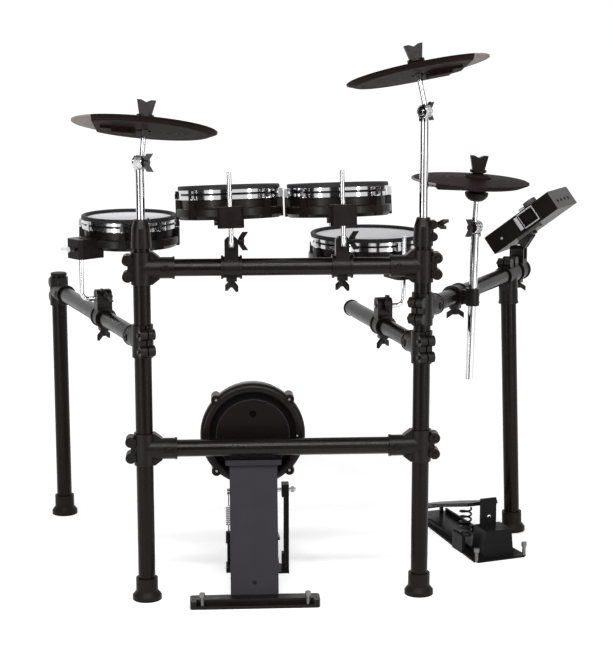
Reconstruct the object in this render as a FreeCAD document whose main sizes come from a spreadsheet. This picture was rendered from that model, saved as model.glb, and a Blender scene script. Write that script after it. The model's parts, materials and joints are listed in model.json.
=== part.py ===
import FreeCAD, Part
import math
import operator
import os
import Sketcher
from FreeCAD import Placement, Rotation, Vector

# Electronic drum kit on a tube rack: X runs across the front, Y towards the player and Z up.
# Sizes are laid out from a point on the floor midway between the two front posts.
# The finished sub-parts are moved so that the origin is under the middle of the kick tower's base.

# Driving sizes, in millimetres, degrees and counts
SIZES = dict(
    # rack tubes
    tube_radius=19.05,
    tube_wall=1.8,
    tube_fit=0.4,
    post_spacing=613.0,
    collar_gap=8.0,
    upper_bar_height=751.0,
    lower_bar_height=347.0,
    bar_gap=22.0,
    left_bar_reach=712.7,
    left_bar_angle=19.46,
    left_bar_drop=161.0,
    left_leg_spare=40.0,
    right_bar_reach=541.4,
    right_bar_angle=29.98,
    right_bar_drop=96.0,
    right_bar_overhang=95.0,
    right_leg_lean=2.2,
    snare_bar_reach=503.0,
    snare_bar_angle=13.09,
    snare_bar_drop=181.0,
    # rubber feet and end caps
    foot_radius=32.5,
    foot_flange=10.0,
    foot_sleeve_radius=24.5,
    foot_height=50.0,
    foot_sole=8.0,
    cap_radius=20.6,
    cap_length=7.0,
    cap_edge=1.5,
    # tee clamps
    tee_radius=23.5,
    tee_half_height=36.0,
    tee_reach=72.0,
    tee_gusset_thickness=24.0,
    tee_gusset_reach=16.0,
    tee_ring_rise=1.2,
    tee_ring_width=5.0,
    tee_slot_width=8.0,
    tee_slot_depth=1.5,
    tee_boss_radius=12.0,
    tee_boss_offset=30.0,
    tee_boss_rise=18.0,
    tee_boss_length=34.0,
    tee_split=3.0,
    bolt_radius=4.0,
    bolt_head_radius=6.5,
    bolt_head_height=5.0,
    # collars on the posts
    collar_radius=22.0,
    collar_top_radius=14.5,
    collar_height=62.0,
    collar_grip=20.0,
    collar_boss_radius=9.5,
    collar_boss_offset=22.0,
    slide_clearance=0.3,
    # wing bolts
    wing_span=40.0,
    wing_thickness=7.0,
    wing_low=9.0,
    wing_top=22.0,
    wing_notch=13.0,
    lower_wing_turn=55.0,
    left_wing_turn=40.0,
    collar_wing_turn=60.0,
    # pad clamps
    clamp_radius=23.5,
    clamp_width=46.0,
    clamp_rib_radius=26.0,
    clamp_rib_width=5.0,
    clamp_cheek_width=30.0,
    clamp_cheek_depth=36.0,
    clamp_cheek_top=66.0,
    clamp_slot=4.0,
    clamp_bevel=7.0,
    clamp_lug_drop=31.0,
    leg_height=46.0,
    leg_reach=50.0,
    rod_radius=5.25,
    rod_bend=16.0,
    rod_clearance=0.3,
    # drum pads
    pad_lugs=8,
    rim_width=10.0,
    rim_depth=9.0,
    rim_round=3.5,
    head_drop=8.0,
    head_thickness=1.5,
    hoop_width=5.0,
    hoop_upper=7.0,
    hoop_space=5.0,
    hoop_lower=9.0,
    shell_wall=5.0,
    shell_inset=6.0,
    wall_depth=49.0,
    basin_overhang=5.0,
    pad_depth=74.0,
    basin_chamfer=8.0,
    shell_floor=4.0,
    lug_top_width=12.0,
    lug_bottom_width=21.0,
    lug_depth=6.0,
    lug_length=42.0,
    lug_sink=3.0,
    tension_rod_radius=2.8,
    tension_head=8.0,
    bracket_width=57.0,
    bracket_height=46.0,
    bracket_depth=44.0,
    bracket_drop=45.0,
    bracket_margin=22.0,
    bracket_chamfer=7.0,
    screw_length=7.0,
    screw_drop=33.0,
    tom_radius=113.0,
    tom_tilt=5.5,
    tom_1_place=-111.5,
    tom_1_rise=177.5,
    tom_2_place=130.0,
    tom_2_rise=181.0,
    tom_1_roll=1.6,
    tom_2_roll=1.4,
    tom_rod_spare=29.0,
    floor_tom_along=308.0,
    floor_tom_rise=234.0,
    floor_tom_swing=-51.0,
    floor_tom_rod_spare=-48.0,
    snare_radius=140.0,
    snare_along=265.0,
    snare_rise=200.0,
    snare_swing=24.75,
    snare_rod_spare=8.0,
    # cymbal pads
    cymbal_radius=157.0,
    hihat_radius=133.0,
    hihat_offset=16.4,
    cymbal_bow=8.0,
    cymbal_edge=2.6,
    cymbal_bevel=17.0,
    cymbal_tray=10.0,
    cymbal_wedge=0.68,
    bell_radius=31.0,
    bell_height=13.5,
    bell_shoulder=22.0,
    dome_radius=22.0,
    dome_reach=14.0,
    dome_wall=6.0,
    seat_clearance=0.4,
    cymbal_hole=7.0,
    sensor_length=74.0,
    sensor_start=-12.0,
    hihat_sensor_start=12.0,
    sensor_width=58.0,
    sensor_depth=11.0,
    sensor_step=24.0,
    sensor_step_depth=5.0,
    stud_radius=4.0,
    stud_top=47.0,
    nut_flange_radius=19.0,
    nut_flange_rise=3.0,
    nut_flange_height=5.0,
    nut_width=27.0,
    nut_top_width=41.0,
    nut_height=32.0,
    nut_notch=5.0,
    nut_thickness=15.0,
    # cymbal arms and tilters
    arm_radius=9.5,
    arm_wall=1.5,
    knuckle_radius=14.0,
    knuckle_thickness=9.0,
    knuckle_gap=0.3,
    tilter_radius=6.0,
    ride_knuckle_height=980.0,
    ride_drop=78.0,
    ride_tilt=13.0,
    ride_lean_heading=66.4,
    ride_arm_length=330.0,
    crash_knuckle_height=1086.0,
    crash_drop=90.0,
    crash_tilt=14.6,
    crash_lean_heading=137.7,
    crash_arm_length=430.0,
    hihat_along=195.0,
    hihat_arm_reach=42.0,
    hihat_arm_lean=1.44,
    hihat_knuckle_rise=160.0,
    hihat_drop=107.0,
    hihat_tilt=2.0,
    hihat_lean_heading=-50.0,
    hihat_arm_length=337.0,
    arm_clamp_radius=15.5,
    arm_clamp_height=40.0,
    cup_radius=28.0,
    cup_height=17.0,
    cup_gap=3.5,
    cup_edge=5.0,
    # kick tower and its pad
    kick_place=-66.0,
    kick_height=362.0,
    kick_back=45.0,
    kick_lugs=4,
    kick_ring_width=24.0,
    kick_groove=11.0,
    kick_groove_depth=12.0,
    kick_boss_radius=11.0,
    kick_boss_recess=6.0,
    kick_hole_radius=7.5,
    kick_hole_rise=49.0,
    kick_jack_radius=5.0,
    kick_jack_length=8.0,
    tower_width=107.0,
    tower_sheet=6.0,
    tower_foot_depth=-41.0,
    tower_bend_depth=24.0,
    tower_bend_height=308.0,
    tower_top_height=352.0,
    tower_lip_width=125.0,
    tower_lip_height=12.0,
    tower_lip_depth=14.0,
    base_length=288.0,
    base_depth=47.0,
    base_height=18.0,
    base_front=-83.0,
    base_corner=8.0,
    base_ledge=16.0,
    base_ledge_height=7.0,
    base_end=14.0,
    spur_radius=4.0,
    spur_height=36.0,
    spur_head_radius=6.5,
    spur_head_height=10.0,
    spur_point=4.0,
    # kick pedal
    pedal_offset=22.0,
    pedal_depth=175.0,
    axle_height=198.0,
    axle_radius=5.0,
    axle_length=160.0,
    axle_clearance=0.3,
    upright_spacing=94.0,
    upright_width=17.0,
    upright_depth=22.0,
    upright_waist=12.0,
    upright_foot=45.0,
    bearing_size=30.0,
    pedal_floor=4.0,
    pedal_base_width=86.0,
    pedal_base_length=286.0,
    board_hinge_height=27.0,
    board_hinge_reach=262.0,
    board_toe_rise=60.0,
    board_width=84.0,
    board_heel_width=68.0,
    board_thickness=7.0,
    board_corner=11.0,
    hinge_radius=4.0,
    hinge_lug=12.0,
    cam_radius=38.0,
    cam_width=18.0,
    cam_bar=10.0,
    cam_holder=20.0,
    strap_width=14.0,
    strap_thickness=2.5,
    beater_length=158.0,
    beater_radius=21.0,
    beater_depth=36.0,
    beater_shaft_radius=3.2,
    beater_rest=38.0,
    lever_length=34.0,
    lever_width=7.0,
    lever_rest=25.0,
    kick_spring_radius=6.0,
    kick_spring_wire=1.5,
    kick_spring_curls=9,
    kick_spring_length=46.0,
    kick_spring_low=106.0,
    spring_nut_radius=7.0,
    spring_nut_height=28.0,
    spring_nut_low=60.0,
    pedal_clamp_height=20.0,
    # hi-hat pedal
    hihat_pedal_x=533.0,
    hihat_pedal_y=220.6,
    hihat_pedal_turn=18.0,
    hihat_base_width=140.0,
    hihat_base_length=420.0,
    hihat_heel_width=88.0,
    hihat_corner=8.0,
    hihat_rail_width=5.0,
    hihat_rail_height=16.0,
    cheek_front=80.0,
    cheek_length=55.0,
    cheek_thickness=8.0,
    cheek_height=44.0,
    cheek_inset=4.0,
    housing_front=16.0,
    hihat_base_sheet=4.0,
    housing_length=64.0,
    housing_width=80.0,
    housing_top_width=68.0,
    housing_height=66.0,
    toe_plate_width=42.0,
    toe_plate_height=134.0,
    toe_plate_thickness=6.0,
    toe_plate_depth=72.0,
    hihat_board_gap=18.0,
    hihat_board_width=82.0,
    hihat_board_thickness=9.0,
    hihat_board_rise=16.0,
    hihat_hinge_inset=28.0,
    hihat_hinge_height=26.0,
    hihat_spring_radius=14.0,
    hihat_spring_wire=2.4,
    hihat_spring_curls=5,
    hihat_spring_depth=195.0,
    hihat_spring_room=0.5,
    board_slots=7,
    board_slot_length=44.0,
    board_slot_width=8.0,
    board_slot_pitch=26.0,
    # sound module
    module_width=205.0,
    module_depth=142.0,
    module_height=50.0,
    module_chamfer=4.0,
    module_roll=37.2,
    module_turn=0.8,
    module_along=-20.9,
    module_aside=26.5,
    module_rise=55.1,
    rear_block_depth=4.0,
    rear_block_margin=3.0,
    panel_start=4.0,
    panel_low=8.5,
    connector_margin=8.0,
    panel_length=43.0,
    panel_height=36.5,
    panel_recess=5.0,
    jack_radius=3.2,
    jack_depth=12.0,
    jack_pitch=25.5,
    jack_row_middle=68.0,
    jack_height=20.5,
    jacks=4,
    mount_plate_size=64.0,
    mount_plate_thickness=7.0,
    module_ear=16.0,
    module_pivot_radius=8.0,
    module_arm_radius=6.0,
    dial_radius=17.0,
    dial_height=12.0,
    dial_aside=41.0,
    dial_margin=8.0,
    key_size=16.0,
    key_height=3.0,
    key_travel=1.5,
    key_pitch=22.0,
    keys=3,
    key_clearance=0.4,
    key_sink=4.0,
)

ACROSS = Vector(1, 0, 0)
BACK = Vector(0, 1, 0)
UP = Vector(0, 0, 1)
ORIGIN = Vector(0, 0, 0)
OPERATIONS = {"+": operator.add, "-": operator.sub, "*": operator.mul, "/": operator.truediv}

doc = FreeCAD.newDocument("electronic_drum_kit")
sheet = doc.addObject("Spreadsheet::Sheet", "Sizes")
for row, (name, value) in enumerate(SIZES.items(), 1):
    sheet.set(f"A{row}", name)
    sheet.set(f"B{row}", str(value))
    sheet.setAlias(f"B{row}", name)
doc.recompute()


class Length:
    """A value together with the spreadsheet expression that gives it."""

    def __init__(self, value, text):
        self.value = value
        self.text = text

    def __add__(self, other):
        return combine(self, "+", other)

    def __radd__(self, other):
        return combine(other, "+", self)

    def __sub__(self, other):
        return combine(self, "-", other)

    def __rsub__(self, other):
        return combine(other, "-", self)

    def __mul__(self, other):
        return combine(self, "*", other)

    def __rmul__(self, other):
        return combine(other, "*", self)

    def __truediv__(self, other):
        return combine(self, "/", other)

    def __neg__(self):
        return combine(0.0, "-", self)


class Sizes:
    """Gives each cell of the spreadsheet as a length under its alias."""

    def __getattr__(self, name):
        return Length(float(sheet.get(name)), f"Sizes.{name}")


size = Sizes()
nodes = []


def number(value):
    return value.value if isinstance(value, Length) else float(value)


def text(value):
    return value.text if isinstance(value, Length) else repr(float(value))


def combine(left, sign, right):
    value = OPERATIONS[sign](number(left), number(right))
    return Length(value, f"({text(left)} {sign} {text(right)})")


def point(x, y, z):
    return Vector(number(x), number(y), number(z))


def sine(angle):
    return math.sin(math.radians(number(angle)))


def cosine(angle):
    return math.cos(math.radians(number(angle)))


def root(value):
    """Square root of a length expression."""
    return Length(math.sqrt(number(value)), f"sqrt({text(value)})")


# Building blocks

def bind(thing, **sizes):
    for name, value in sizes.items():
        thing.setExpression(name, text(value))


def cylinder(radius, height, at=ORIGIN, towards=UP):
    """A round bar that starts at a point and runs in a direction."""
    bar = doc.addObject("Part::Cylinder", "bar")
    bind(bar, Radius=radius, Height=height)
    bar.Placement = Placement(at, Rotation(UP, towards))
    return bar


def block(x_range, y_range, z_range):
    """A box between two limits on each axis."""
    (x0, x1), (y0, y1), (z0, z1) = x_range, y_range, z_range
    solid = doc.addObject("Part::Box", "block")
    bind(solid, Length=x1 - x0, Width=y1 - y0, Height=z1 - z0)
    solid.Placement = Placement(point(x0, y0, z0), Rotation())
    return solid


def quarter_bend(radius, wire_radius):
    """A quarter of a ring in the XY plane, from the X axis to the Y axis."""
    bend = doc.addObject("Part::Torus", "bend")
    bind(bend, Radius1=radius, Radius2=wire_radius)
    bend.Angle3 = 90
    return bend


def fuse(*solids):
    union = doc.addObject("Part::MultiFuse", "union")
    union.Shapes = list(solids)
    union.Refine = True
    return union


def cut(base, *tools):
    remainder = doc.addObject("Part::Cut", "remainder")
    remainder.Base = base
    remainder.Tool = tools[0] if len(tools) == 1 else fuse(*tools)
    remainder.Refine = True
    return remainder


def tie(sketch, geometry, position, x=None, y=None):
    """Ties a point of a sketch to the sketch's origin."""
    for kind, value in (("DistanceX", x), ("DistanceY", y)):
        if value is None:
            continue
        rule = Sketcher.Constraint(kind, -1, 1, geometry, position, number(value))
        index = sketch.addConstraint(rule)
        sketch.setExpression(f"Constraints[{index}]", text(value))


def draw_arc(sketch, start, end, centre):
    """Adds the shorter arc from start to end and tells which of its ends is which."""
    circle = Part.Circle(centre, UP, (start - centre).Length)
    from_angle = math.atan2(start.y - centre.y, start.x - centre.x)
    to_angle = math.atan2(end.y - centre.y, end.x - centre.x)
    if (to_angle - from_angle) % (2 * math.pi) < math.pi:
        return sketch.addGeometry(Part.ArcOfCircle(circle, from_angle, to_angle)), 1, 2
    return sketch.addGeometry(Part.ArcOfCircle(circle, to_angle, from_angle)), 2, 1


def draw_outline(sketch, corners):
    """Draws a closed outline. A corner (x, y, centre) is reached by an arc about that centre."""
    ends = []
    for before, corner in zip(corners[-1:] + corners[:-1], corners):
        start = point(before[0], before[1], 0)
        end = point(corner[0], corner[1], 0)
        if len(corner) == 3:
            centre = point(*corner[2], 0)
            geometry, first, last = draw_arc(sketch, start, end, centre)
            tie(sketch, geometry, 3, *corner[2])
            is_steep = abs(end.y - centre.y) > abs(end.x - centre.x)
            tie(sketch, geometry, last, corner[0] if is_steep else None, None if is_steep else corner[1])
        else:
            geometry, first, last = sketch.addGeometry(Part.LineSegment(start, end)), 1, 2
            tie(sketch, geometry, last, corner[0], corner[1])
        ends.append((geometry, first, last))
    for (one, _, last), (other, first, _) in zip(ends, ends[1:] + ends[:1]):
        sketch.addConstraint(Sketcher.Constraint("Coincident", one, last, other, first))


def new_sketch(body, role):
    sketch = body.newObject("Sketcher::SketchObject", "outline")
    plane = [feature for feature in body.Origin.OriginFeatures if feature.Role == role][0]
    sketch.AttachmentSupport = (plane, [""])
    sketch.MapMode = "FlatFace"
    return sketch


def turned(*corners):
    """A body of revolution about Z from an outline of radius and height."""
    body = doc.addObject("PartDesign::Body", "turned")
    sketch = new_sketch(body, "XZ_Plane")
    draw_outline(sketch, list(corners))
    turn = body.newObject("PartDesign::Revolution", "turn")
    turn.Profile = sketch
    turn.ReferenceAxis = (sketch, ["V_Axis"])
    turn.Angle = 360
    return body


def plate(thickness, *corners):
    """A flat body that rises along Z from an outline in the XY plane."""
    body = doc.addObject("PartDesign::Body", "plate")
    sketch = new_sketch(body, "XY_Plane")
    draw_outline(sketch, list(corners))
    pad = body.newObject("PartDesign::Pad", "pad")
    pad.Profile = sketch
    bind(pad, Length=thickness)
    return body


def upright_plate(thickness, *corners):
    """A plate whose outline stands in the XZ plane, centred on Y."""
    body = plate(thickness, *corners)
    body.Placement = Placement(Vector(0, number(thickness) / 2, 0), Rotation(ACROSS, 90))
    return body


def side_plate(width, *corners):
    """A plate whose outline stands in the YZ plane, centred on X."""
    body = plate(width, *corners)
    body.Placement = Placement(Vector(-number(width) / 2, 0, 0), Rotation(BACK, UP, ACROSS, "ZXY"))
    return body


def round_edges(body, radius, is_wanted):
    """Rounds the edges of a body that pass a test."""
    doc.recompute()
    base = body.Tip
    names = [f"Edge{index}" for index, edge in enumerate(base.Shape.Edges, 1) if is_wanted(edge)]
    fillet = body.newObject("PartDesign::Fillet", "rounding")
    fillet.Base = (base, names)
    bind(fillet, Radius=radius)
    return body


def move(thing, placement):
    thing.Placement = placement.multiply(thing.Placement)
    return thing


def shift(thing, x=0, y=0, z=0):
    return move(thing, Placement(point(x, y, z), Rotation()))


def spin(thing, axis, angle):
    return move(thing, Placement(ORIGIN, Rotation(axis, number(angle))))


def copy_of(master, placement):
    link = doc.addObject("App::Link", "copy")
    link.LinkedObject = master
    link.Placement = placement.multiply(master.Placement)
    return link


def around(master, count, start=0.0):
    """Copies spread evenly about Z from a starting angle."""
    places = int(number(count))
    turns = [Rotation(UP, start + index * 360 / places) for index in range(places)]
    return [copy_of(master, Placement(ORIGIN, turn)) for turn in turns]


TO_ORIGIN = point(-size.kick_place, -size.base_front - size.base_depth / 2, 0)


def node(label, *solids):
    """Gathers the solids of one sub-part under its own label."""
    group = doc.addObject("Part::Compound", label)
    group.Label = label
    group.Links = list(solids)
    group.Placement = Placement(TO_ORIGIN, Rotation())
    nodes.append(group)
    return group


def frame(origin, x_axis, z_axis):
    return Placement(origin, Rotation(x_axis, z_axis.cross(x_axis), z_axis, "ZXY"))


# Places on the rack

def heading(angle):
    """Level direction at an angle from straight back, positive to the right."""
    return Vector(sine(angle), cosine(angle), 0)


def right_of(way):
    return Vector(way.y, -way.x, 0)


POST_X = number(size.post_spacing) / 2
POST_TOP = size.upper_bar_height + size.tee_half_height + size.collar_gap + size.collar_grip
LEFT_BAR_HEIGHT = size.upper_bar_height - size.left_bar_drop
RIGHT_BAR_HEIGHT = size.upper_bar_height - size.right_bar_drop
SNARE_BAR_HEIGHT = size.upper_bar_height - size.snare_bar_drop
LEFT_WAY = heading(-number(size.left_bar_angle))
RIGHT_WAY = heading(size.right_bar_angle)
SNARE_WAY = heading(-number(size.snare_bar_angle))
LEFT_START = Vector(-POST_X, 0, number(LEFT_BAR_HEIGHT))
RIGHT_START = Vector(POST_X, 0, number(RIGHT_BAR_HEIGHT))
SNARE_START = Vector(POST_X, 0, number(SNARE_BAR_HEIGHT))
LEFT_END = LEFT_START + LEFT_WAY * number(size.left_bar_reach)
RIGHT_END = RIGHT_START + RIGHT_WAY * number(size.right_bar_reach)
LEG_DOWN = right_of(RIGHT_WAY) * sine(size.right_leg_lean) - UP * cosine(size.right_leg_lean)
FOOT_LIFT = number(size.foot_radius) * sine(size.right_leg_lean)
RIGHT_LEG_LENGTH = (number(RIGHT_BAR_HEIGHT) - FOOT_LIFT) / cosine(size.right_leg_lean)
RIGHT_FOOT = RIGHT_END + LEG_DOWN * RIGHT_LEG_LENGTH


def tube(length, at, towards):
    """A rack tube, open at both ends."""
    bore = cylinder(size.tube_radius - size.tube_wall, length, at, towards)
    return cut(cylinder(size.tube_radius, length, at, towards), bore)


def build_tubes():
    post_length = POST_TOP - size.foot_sole
    post_starts = [point(side * POST_X, 0, size.foot_sole) for side in (-1, 1)]
    posts = [tube(post_length, start, UP) for start in post_starts]
    left_start = Vector(LEFT_END.x, LEFT_END.y, number(size.foot_sole))
    left_leg = tube(LEFT_BAR_HEIGHT + size.left_leg_spare - size.foot_sole, left_start, UP)
    right_length = RIGHT_LEG_LENGTH - number(size.foot_sole + size.bar_gap)
    right_leg = tube(right_length, RIGHT_END + LEG_DOWN * number(size.bar_gap), LEG_DOWN)
    node("rack_uprights", *posts, left_leg, right_leg)

    bar_length = size.post_spacing - size.bar_gap * 2
    bar_start = number(size.bar_gap) - POST_X
    heights = (size.upper_bar_height, size.lower_bar_height)
    crossbars = [tube(bar_length, point(bar_start, 0, height), ACROSS) for height in heights]
    gap = number(size.bar_gap)
    left = tube(size.left_bar_reach - size.bar_gap * 2, LEFT_START + LEFT_WAY * gap, LEFT_WAY)
    right_length = size.right_bar_reach + size.right_bar_overhang - size.bar_gap
    right = tube(right_length, RIGHT_START + RIGHT_WAY * gap, RIGHT_WAY)
    snare = tube(size.snare_bar_reach - size.bar_gap, SNARE_START + SNARE_WAY * gap, SNARE_WAY)
    node("rack_bars", *crossbars, left, right, snare)


def foot():
    sleeve = size.foot_sleeve_radius
    top = size.foot_height
    knee = size.foot_flange * 2
    inner = size.tube_radius + size.tube_fit
    return turned((0, 0), (size.foot_radius, 0), (size.foot_radius, size.foot_flange), (sleeve, knee),
                  (sleeve, top), (inner, top), (inner, size.foot_sole), (0, size.foot_sole))


def end_cap():
    """Cap over an open tube end, with the tube's end face at height zero."""
    plug = size.tube_radius - size.tube_wall - size.tube_fit
    top = size.cap_length
    edge = size.cap_edge
    return turned((0, -top), (plug, -top), (plug, 0), (size.cap_radius, 0), (size.cap_radius, top - edge),
                  (size.cap_radius - edge, top), (0, top))


def build_feet():
    master = foot()
    cap = end_cap()
    left_leg = Vector(LEFT_END.x, LEFT_END.y, 0)
    stands = [Vector(-POST_X, 0, 0), Vector(POST_X, 0, 0), left_leg]
    pieces = [copy_of(master, Placement(stand, Rotation())) for stand in stands]
    pieces.append(copy_of(master, Placement(RIGHT_FOOT, Rotation(UP, -LEG_DOWN))))
    leg_top = Vector(LEFT_END.x, LEFT_END.y, number(LEFT_BAR_HEIGHT + size.left_leg_spare))
    snare_tip = SNARE_START + SNARE_WAY * number(size.snare_bar_reach)
    right_tip = RIGHT_END + RIGHT_WAY * number(size.right_bar_overhang)
    ends = ((leg_top, UP), (snare_tip, SNARE_WAY), (right_tip, RIGHT_WAY))
    pieces += [copy_of(cap, Placement(tip, Rotation(UP, way))) for tip, way in ends]
    node("feet_and_caps", *pieces)


# Tee clamps: a split sleeve on one tube with a stub sleeve for another

def tee_clamp():
    half = size.tee_half_height
    radius = size.tee_radius
    reach = size.tee_reach
    offset = size.tee_boss_offset
    rises = (-size.tee_boss_rise, size.tee_boss_rise)
    sleeve = cylinder(radius, half * 2, point(0, 0, -half))
    stub = cylinder(radius, reach, ORIGIN, ACROSS)
    ring_start = reach - size.tee_ring_width
    ring = cylinder(radius + size.tee_ring_rise, size.tee_ring_width, point(ring_start, 0, 0), ACROSS)
    gusset_end = radius + size.tee_gusset_reach
    gusset = upright_plate(size.tee_gusset_thickness, (0, -half), (radius, -half), (gusset_end, -radius),
                           (gusset_end, radius), (radius, half), (0, half))
    ear_half = size.tee_boss_length / 2
    ear_top = size.tee_boss_rise + size.tee_boss_radius / 2
    ear = block((-offset, -size.tube_radius / 2), (-ear_half * 0.8, ear_half * 0.8), (-ear_top, ear_top))
    bosses = [cylinder(size.tee_boss_radius, size.tee_boss_length, point(-offset, -ear_half, rise), BACK)
              for rise in rises]
    body = fuse(sleeve, stub, ring, gusset, ear, *bosses)
    inner = size.tube_radius + size.tube_fit
    bore = cylinder(inner, half * 2, point(0, 0, -half))
    stub_bore = cylinder(inner, reach, ORIGIN, ACROSS)
    split_end = offset + size.tee_boss_radius
    split = block((-split_end, 0), (-size.tee_split / 2, size.tee_split / 2), (-half, half))
    slot_half = size.tee_slot_width / 2
    slot_top = radius - size.tee_slot_depth
    slots = [block((gusset_end, ring_start), edges, (-slot_half, slot_half))
             for edges in ((slot_top, radius), (-radius, -slot_top))]
    holes = [cylinder(size.bolt_radius, size.tee_boss_length, point(-offset, -ear_half, rise), BACK)
             for rise in rises]
    recess_start = size.bolt_head_height - ear_half
    recesses = [cylinder(size.bolt_head_radius, size.bolt_head_height,
                         point(-offset, recess_start, rise), -BACK) for rise in rises]
    return cut(body, bore, stub_bore, split, *slots, *holes, *recesses)


def tee_places():
    """Frame of each tee: Z along the through tube, X along the stub."""
    upper = number(size.upper_bar_height)
    lower = number(size.lower_bar_height)
    places = []
    for side in (-1, 1):
        for height in (upper, lower):
            places.append(frame(Vector(side * POST_X, 0, height), ACROSS * -side, UP))
    places.append(frame(LEFT_START, LEFT_WAY, UP))
    places.append(frame(RIGHT_START, RIGHT_WAY, UP))
    places.append(frame(SNARE_START, SNARE_WAY, UP))
    places.append(frame(LEFT_END, LEFT_WAY * -1, UP))
    places.append(frame(RIGHT_END, LEG_DOWN, RIGHT_WAY))
    return places


def tee_bolt():
    """Bolt of a tee boss, its head in the recess on the near side."""
    half = size.tee_boss_length / 2
    head = cylinder(size.bolt_head_radius, size.bolt_head_height, point(0, -half, 0), BACK)
    shank = cylinder(size.bolt_radius, size.tee_boss_length + size.bolt_head_height, point(0, -half, 0), BACK)
    return fuse(head, shank)


def wing_bolt():
    """Wing bolt that points along Z, with its shoulder at height zero."""
    half = size.wing_span / 2
    foot_half = size.bolt_head_radius
    low = size.wing_low
    top = size.wing_top
    notch = size.wing_notch
    wings = upright_plate(size.wing_thickness, (-foot_half, 0), (foot_half, 0), (half, low), (half, top),
                          (foot_half, notch), (-foot_half, notch), (-half, top), (-half, low))
    return fuse(wings, cylinder(foot_half, notch))


# Collars that close the tops of the posts round the cymbal arms

# Heights of the two bosses as shares of the collar's height
COLLAR_BOSS_LOW = 0.32
COLLAR_BOSS_HIGH = 0.75


def collar():
    grip = size.collar_grip
    top = size.collar_height
    radius = size.collar_radius
    inner = size.tube_radius + size.tube_fit
    slide = size.arm_radius + size.slide_clearance
    sleeve = turned((inner, 0), (radius, 0), (radius, grip / 2), (radius - 2, top * 0.7),
                    (size.collar_top_radius, top), (slide, top), (slide, grip), (inner, grip))
    half = size.collar_boss_radius
    low = top * COLLAR_BOSS_LOW
    high = top * COLLAR_BOSS_HIGH
    offset = size.collar_boss_offset
    bosses = [cylinder(half, half * 2, point(offset, -half, rise), BACK) for rise in (low, high)]
    ear = block((size.collar_top_radius, offset), (-half * 0.8, half * 0.8),
                (low - half / 2, high + half / 2))
    return fuse(sleeve, cut(fuse(ear, *bosses), cylinder(inner, top)))


def collar_places():
    low = number(POST_TOP - size.collar_grip)
    left = Placement(Vector(-POST_X, 0, low), Rotation(UP, 90))
    right = Placement(Vector(POST_X, 0, low), Rotation())
    return left, right


def build_collars():
    master = collar()
    node("post_collars", *[copy_of(master, place) for place in collar_places()])


# Clamps that carry pads, the hi-hat arm and the module on the bars

def clamp_ring():
    """Band on a bar that runs along X, with a rib at each end and a lug below."""
    half = size.clamp_width / 2
    rib = size.clamp_rib_width
    band = cylinder(size.clamp_radius, size.clamp_width, point(-half, 0, 0), ACROSS)
    ribs = [cylinder(size.clamp_rib_radius, rib, point(start, 0, 0), ACROSS) for start in (-half, half - rib)]
    lug = block((-half / 2, half / 2), (-rib * 2, rib * 2), (-size.clamp_lug_drop, -size.tube_radius))
    return [band, *ribs, lug]


def bar_bore():
    inner = size.tube_radius + size.tube_fit
    return cylinder(inner, size.clamp_width * 2, point(-size.clamp_width, 0, 0), ACROSS)


def cheek_block(top):
    """Upright block on a clamp's band, with bevelled top edges."""
    half = size.clamp_cheek_width / 2
    bevel = size.clamp_bevel
    return upright_plate(size.clamp_cheek_depth, (-half, 0), (half, 0), (half, top - bevel),
                         (half - bevel, top), (bevel - half, top), (-half, top - bevel))


def pad_clamp():
    """Clamp with two cheeks that grip the level leg of a pad rod, which runs along Y."""
    depth = size.clamp_cheek_depth / 2
    body = fuse(*clamp_ring(), cheek_block(size.clamp_cheek_top))
    slot = block((-size.clamp_slot / 2, size.clamp_slot / 2), (-depth, depth),
                 (size.leg_height, size.clamp_cheek_top))
    leg_bore = cylinder(size.rod_radius + size.rod_clearance, depth * 2,
                        point(0, -depth, size.leg_height), BACK)
    return cut(body, bar_bore(), slot, leg_bore)


def arm_clamp():
    """Clamp with an upright sleeve for the hi-hat arm in front of the bar."""
    reach = size.hihat_arm_reach
    half = size.arm_clamp_height / 2
    sleeve = cylinder(size.arm_clamp_radius, half * 2, point(0, -reach, -half))
    bridge = block((-size.arm_clamp_radius, size.arm_clamp_radius), (-reach, 0), (-half * 0.8, half * 0.8))
    way = ARM_CLAMP.Rotation.inverted().multVec(arm_way())
    start = point(0, -reach, 0) - way * number(size.arm_clamp_height)
    bore = cylinder(size.arm_radius + size.slide_clearance, half * 4, start, way)
    return cut(fuse(*clamp_ring(), sleeve, bridge), bar_bore(), bore)


def arm_way():
    """Direction of the hi-hat arm, which leans to the right."""
    return Vector(sine(size.hihat_arm_lean), 0, cosine(size.hihat_arm_lean))


def module_clamp():
    """Clamp with two ears that hold the pivot of the module's arm."""
    half = size.clamp_cheek_width / 2
    room = size.module_ear / 2 + size.slide_clearance
    top = size.leg_height + size.module_pivot_radius * 2
    floor = size.leg_height - size.module_pivot_radius * 2
    gap = block((-room, room), (-size.clamp_cheek_depth, size.clamp_cheek_depth), (floor, top))
    pivot = cylinder(size.bolt_radius + size.slide_clearance, size.clamp_cheek_width,
                     point(-half, 0, size.leg_height), ACROSS)
    return cut(fuse(*clamp_ring(), cheek_block(top)), bar_bore(), gap, pivot)


def bar_frame(start, way, along, leg_side):
    """Frame of a clamp on a bar, with its pad rod on the given side."""
    place = start + way * number(along)
    return frame(place, leg_side.cross(UP) * -1, UP)


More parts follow.
